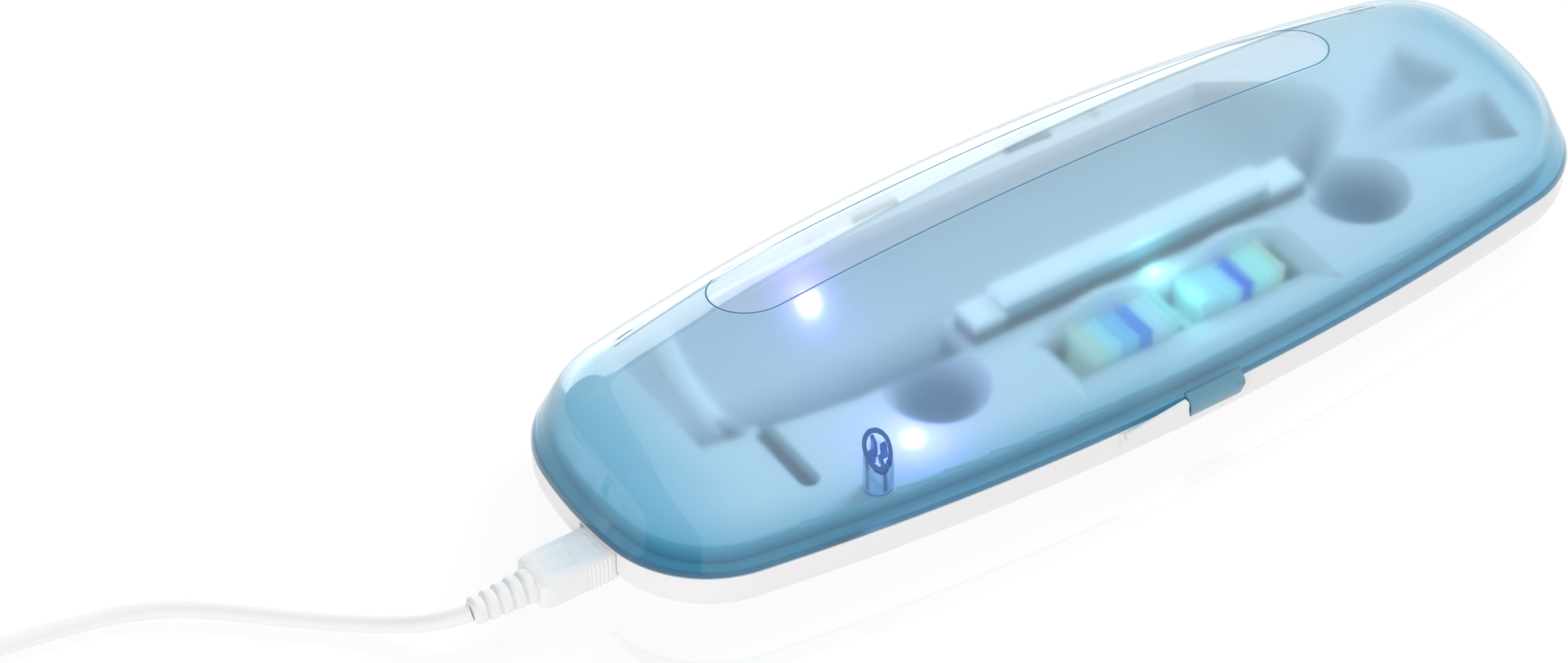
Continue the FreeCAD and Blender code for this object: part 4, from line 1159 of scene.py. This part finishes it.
# %% Dress the kept solids
node_finish = {
    case_white: ["base_shell"], tray_white: ["inner_tray", "interlock_plunger"],
    housing_shade_and_glow: ["lamp_housing"], steel: ["hinge_pin", "board_screws", "case_screws"],
    lamp_glass: ["uv_lamp_tube"], soft_rubber: ["lamp_cap_left", "lamp_cap_right", "rubber_feet"],
    sheet_metal: ["lamp_reflector"], solder_mask: ["circuit_board"], ferrite: ["inverter_core"],
    copper_wire: ["inverter_winding"], led_lens: ["led_front", "led_back"],
    epoxy_black: ["timer_chip", "capacitors", "interlock_switch"],
    nickel: ["usb_socket", "usb_plug_tip", "usb_a_shell"],
    head_white: ["brush_head_left", "brush_head_right"], tie_grey: ["cable_tie"]}
for material, names in node_finish.items():
    for name in names:
        solid = nodes[name]
        solid.data.materials.clear()
        solid.data.materials.append(material)
        join = solid.modifiers.new("smooth_solid", "NODES")
        join.node_group = smooth_solid
        weigh = solid.modifiers.new("flat_faces", "WEIGHTED_NORMAL")
        weigh.keep_sharp = True
print("solids kept:", sum(len(names) for names in node_finish.values()))

# %% [markdown]
# ## Table
# The object stands on a white table. It is nearly all its own light, so it looks white at any
# distance, and a faint mirror in it keeps the soft reflection and the shadow below the case.

# %% Table
floor_half = 3000.0
floor_corners = [(-floor_half, -floor_half, 0), (floor_half, -floor_half, 0),
                 (floor_half, floor_half, 0), (-floor_half, floor_half, 0)]
floor = mesh_object("floor", floor_corners, [[0, 1, 2, 3]], smooth=False)
floor_white, _, floor_shader = plain_material("floor_white")
for title, value in (("Base Color", (0.16, 0.16, 0.16, 1)), ("Roughness", 0.02), ("IOR", 1.75),
                     ("Emission Color", (1, 1, 1, 1)), ("Emission Strength", 0.775)):
    floor_shader.inputs[title].default_value = value
floor.data.materials.append(floor_white)
print("table, m:", 2 * floor_half * MM)

# %% [markdown]
# ## The room
# The room is an even white. It lights the object at half strength, and is seen, mirrored or
# looked at through glass at full strength. What is only mirrored, as in the lid, is a studio: a
# bright panel behind the case, a thin dark line at its edge, and a pale wall beyond.

# %% Room
ambient, full = 0.50, 1.0
panel_normal, panel_side = (0.671, -0.497, 0.550), (-0.743, -0.196, 0.641)
panel_edge, side_edge, wall_edge = (-0.022, -0.014), (-0.02, 0.0), (0.002, 0.01)
panel_level, wall_level = 3.1, 0.95
room = bpy.data.worlds.new("room")
bpy.context.scene.world = room
room.use_nodes = True
air = room.node_tree
sky = air.nodes["Background"]
sky.inputs["Color"].default_value = (1, 1, 1, 1)
rays = add(air, "ShaderNodeLightPath").outputs
toward = add(air, "ShaderNodeTexCoord")


def facing(normal):
    """The cosine of a ray's direction with a fixed one."""
    node = add(air, "ShaderNodeVectorMath", operation="DOT_PRODUCT")
    node.inputs[1].default_value = normal
    air.links.new(toward.outputs["Generated"], node.inputs[0])
    return node.outputs["Value"]


seen = math_of(air, "MAXIMUM", rays["Is Camera Ray"], rays["Is Glossy Ray"])
seen = math_of(air, "MAXIMUM", seen, rays["Is Transmission Ray"])
level = ramp_of(air, seen, 0.0, 1.0, ambient, full, soft=False)
across = facing(panel_normal)
panel = math_of(air, "MULTIPLY", ramp_of(air, across, *panel_edge, panel_level, 0.0, soft=False),
                ramp_of(air, facing(panel_side), *side_edge, 1.0, 0.0, soft=False))
wall = ramp_of(air, across, *wall_edge, 0.0, wall_level, soft=False)
mirrored = math_of(air, "SUBTRACT", rays["Is Glossy Ray"], rays["Is Transmission Ray"], clamp=True)
strength = add(air, "ShaderNodeMix", data_type="FLOAT")
air.links.new(mirrored, strength.inputs["Factor"])
air.links.new(level, strength.inputs["A"])
air.links.new(math_of(air, "ADD", panel, wall), strength.inputs["B"])
air.links.new(strength.outputs["Result"], sky.inputs["Strength"])
print("the room has", len(air.nodes), "nodes")

# %% [markdown]
# ## Lamps
# A key light on the right, behind the case, gives the shadow its side. Weaker ones in front and on
# the left fill it. Four tiny coloured lamps inside the case throw the glow of the two signal
# lights and of the ultraviolet tube on what lies round them. A glowing surface that small would
# light its surroundings with much noise.

# %% Lamps
def lamp(name, kind, at, watts, color=(1, 1, 1), size=1.0, aim=(0, 0, 0)):
    """A light at a place in metres; an area light faces aim."""
    data = bpy.data.lights.new(name, kind)
    data.energy = watts
    data.color = color
    if kind == "AREA":
        data.size = size
    else:
        data.shadow_soft_size = size
    obj = bpy.data.objects.new(name, data)
    obj.location = at
    obj.rotation_euler = look_at(np.array(at, dtype=float), np.array(aim, dtype=float))
    return link(obj)


violet, cyan = (0.36, 0.22, 1.0), (0.4, 0.97, 0.95)
lamps = [
    lamp("key_light", "AREA", (1.1, 0.4, 0.85), 17.0, size=0.6),
    lamp("fill_light", "AREA", (0.5, -1.1, 0.7), 2.5, size=1.2),
    lamp("left_light", "AREA", (-1.0, -0.6, 0.6), 6.5, size=1.0),
    lamp("front_signal", "POINT", (-0.0532, -0.0225, 0.0195), 0.0048, violet, 0.001),
    lamp("back_signal", "POINT", (-0.0441, 0.0240, 0.0128), 0.0018, violet, 0.001),
    lamp("tube_glow_left", "POINT", (0.0135, -0.0100, 0.0162), 0.0011, cyan, 0.002),
    lamp("tube_glow_right", "POINT", (0.0135, -0.0205, 0.0178), 0.0013, cyan, 0.002)]
for light in lamps:
    light.visible_camera = False
    light.visible_glossy = False
    light.visible_transmission = False
print("lamps:", len(lamps))
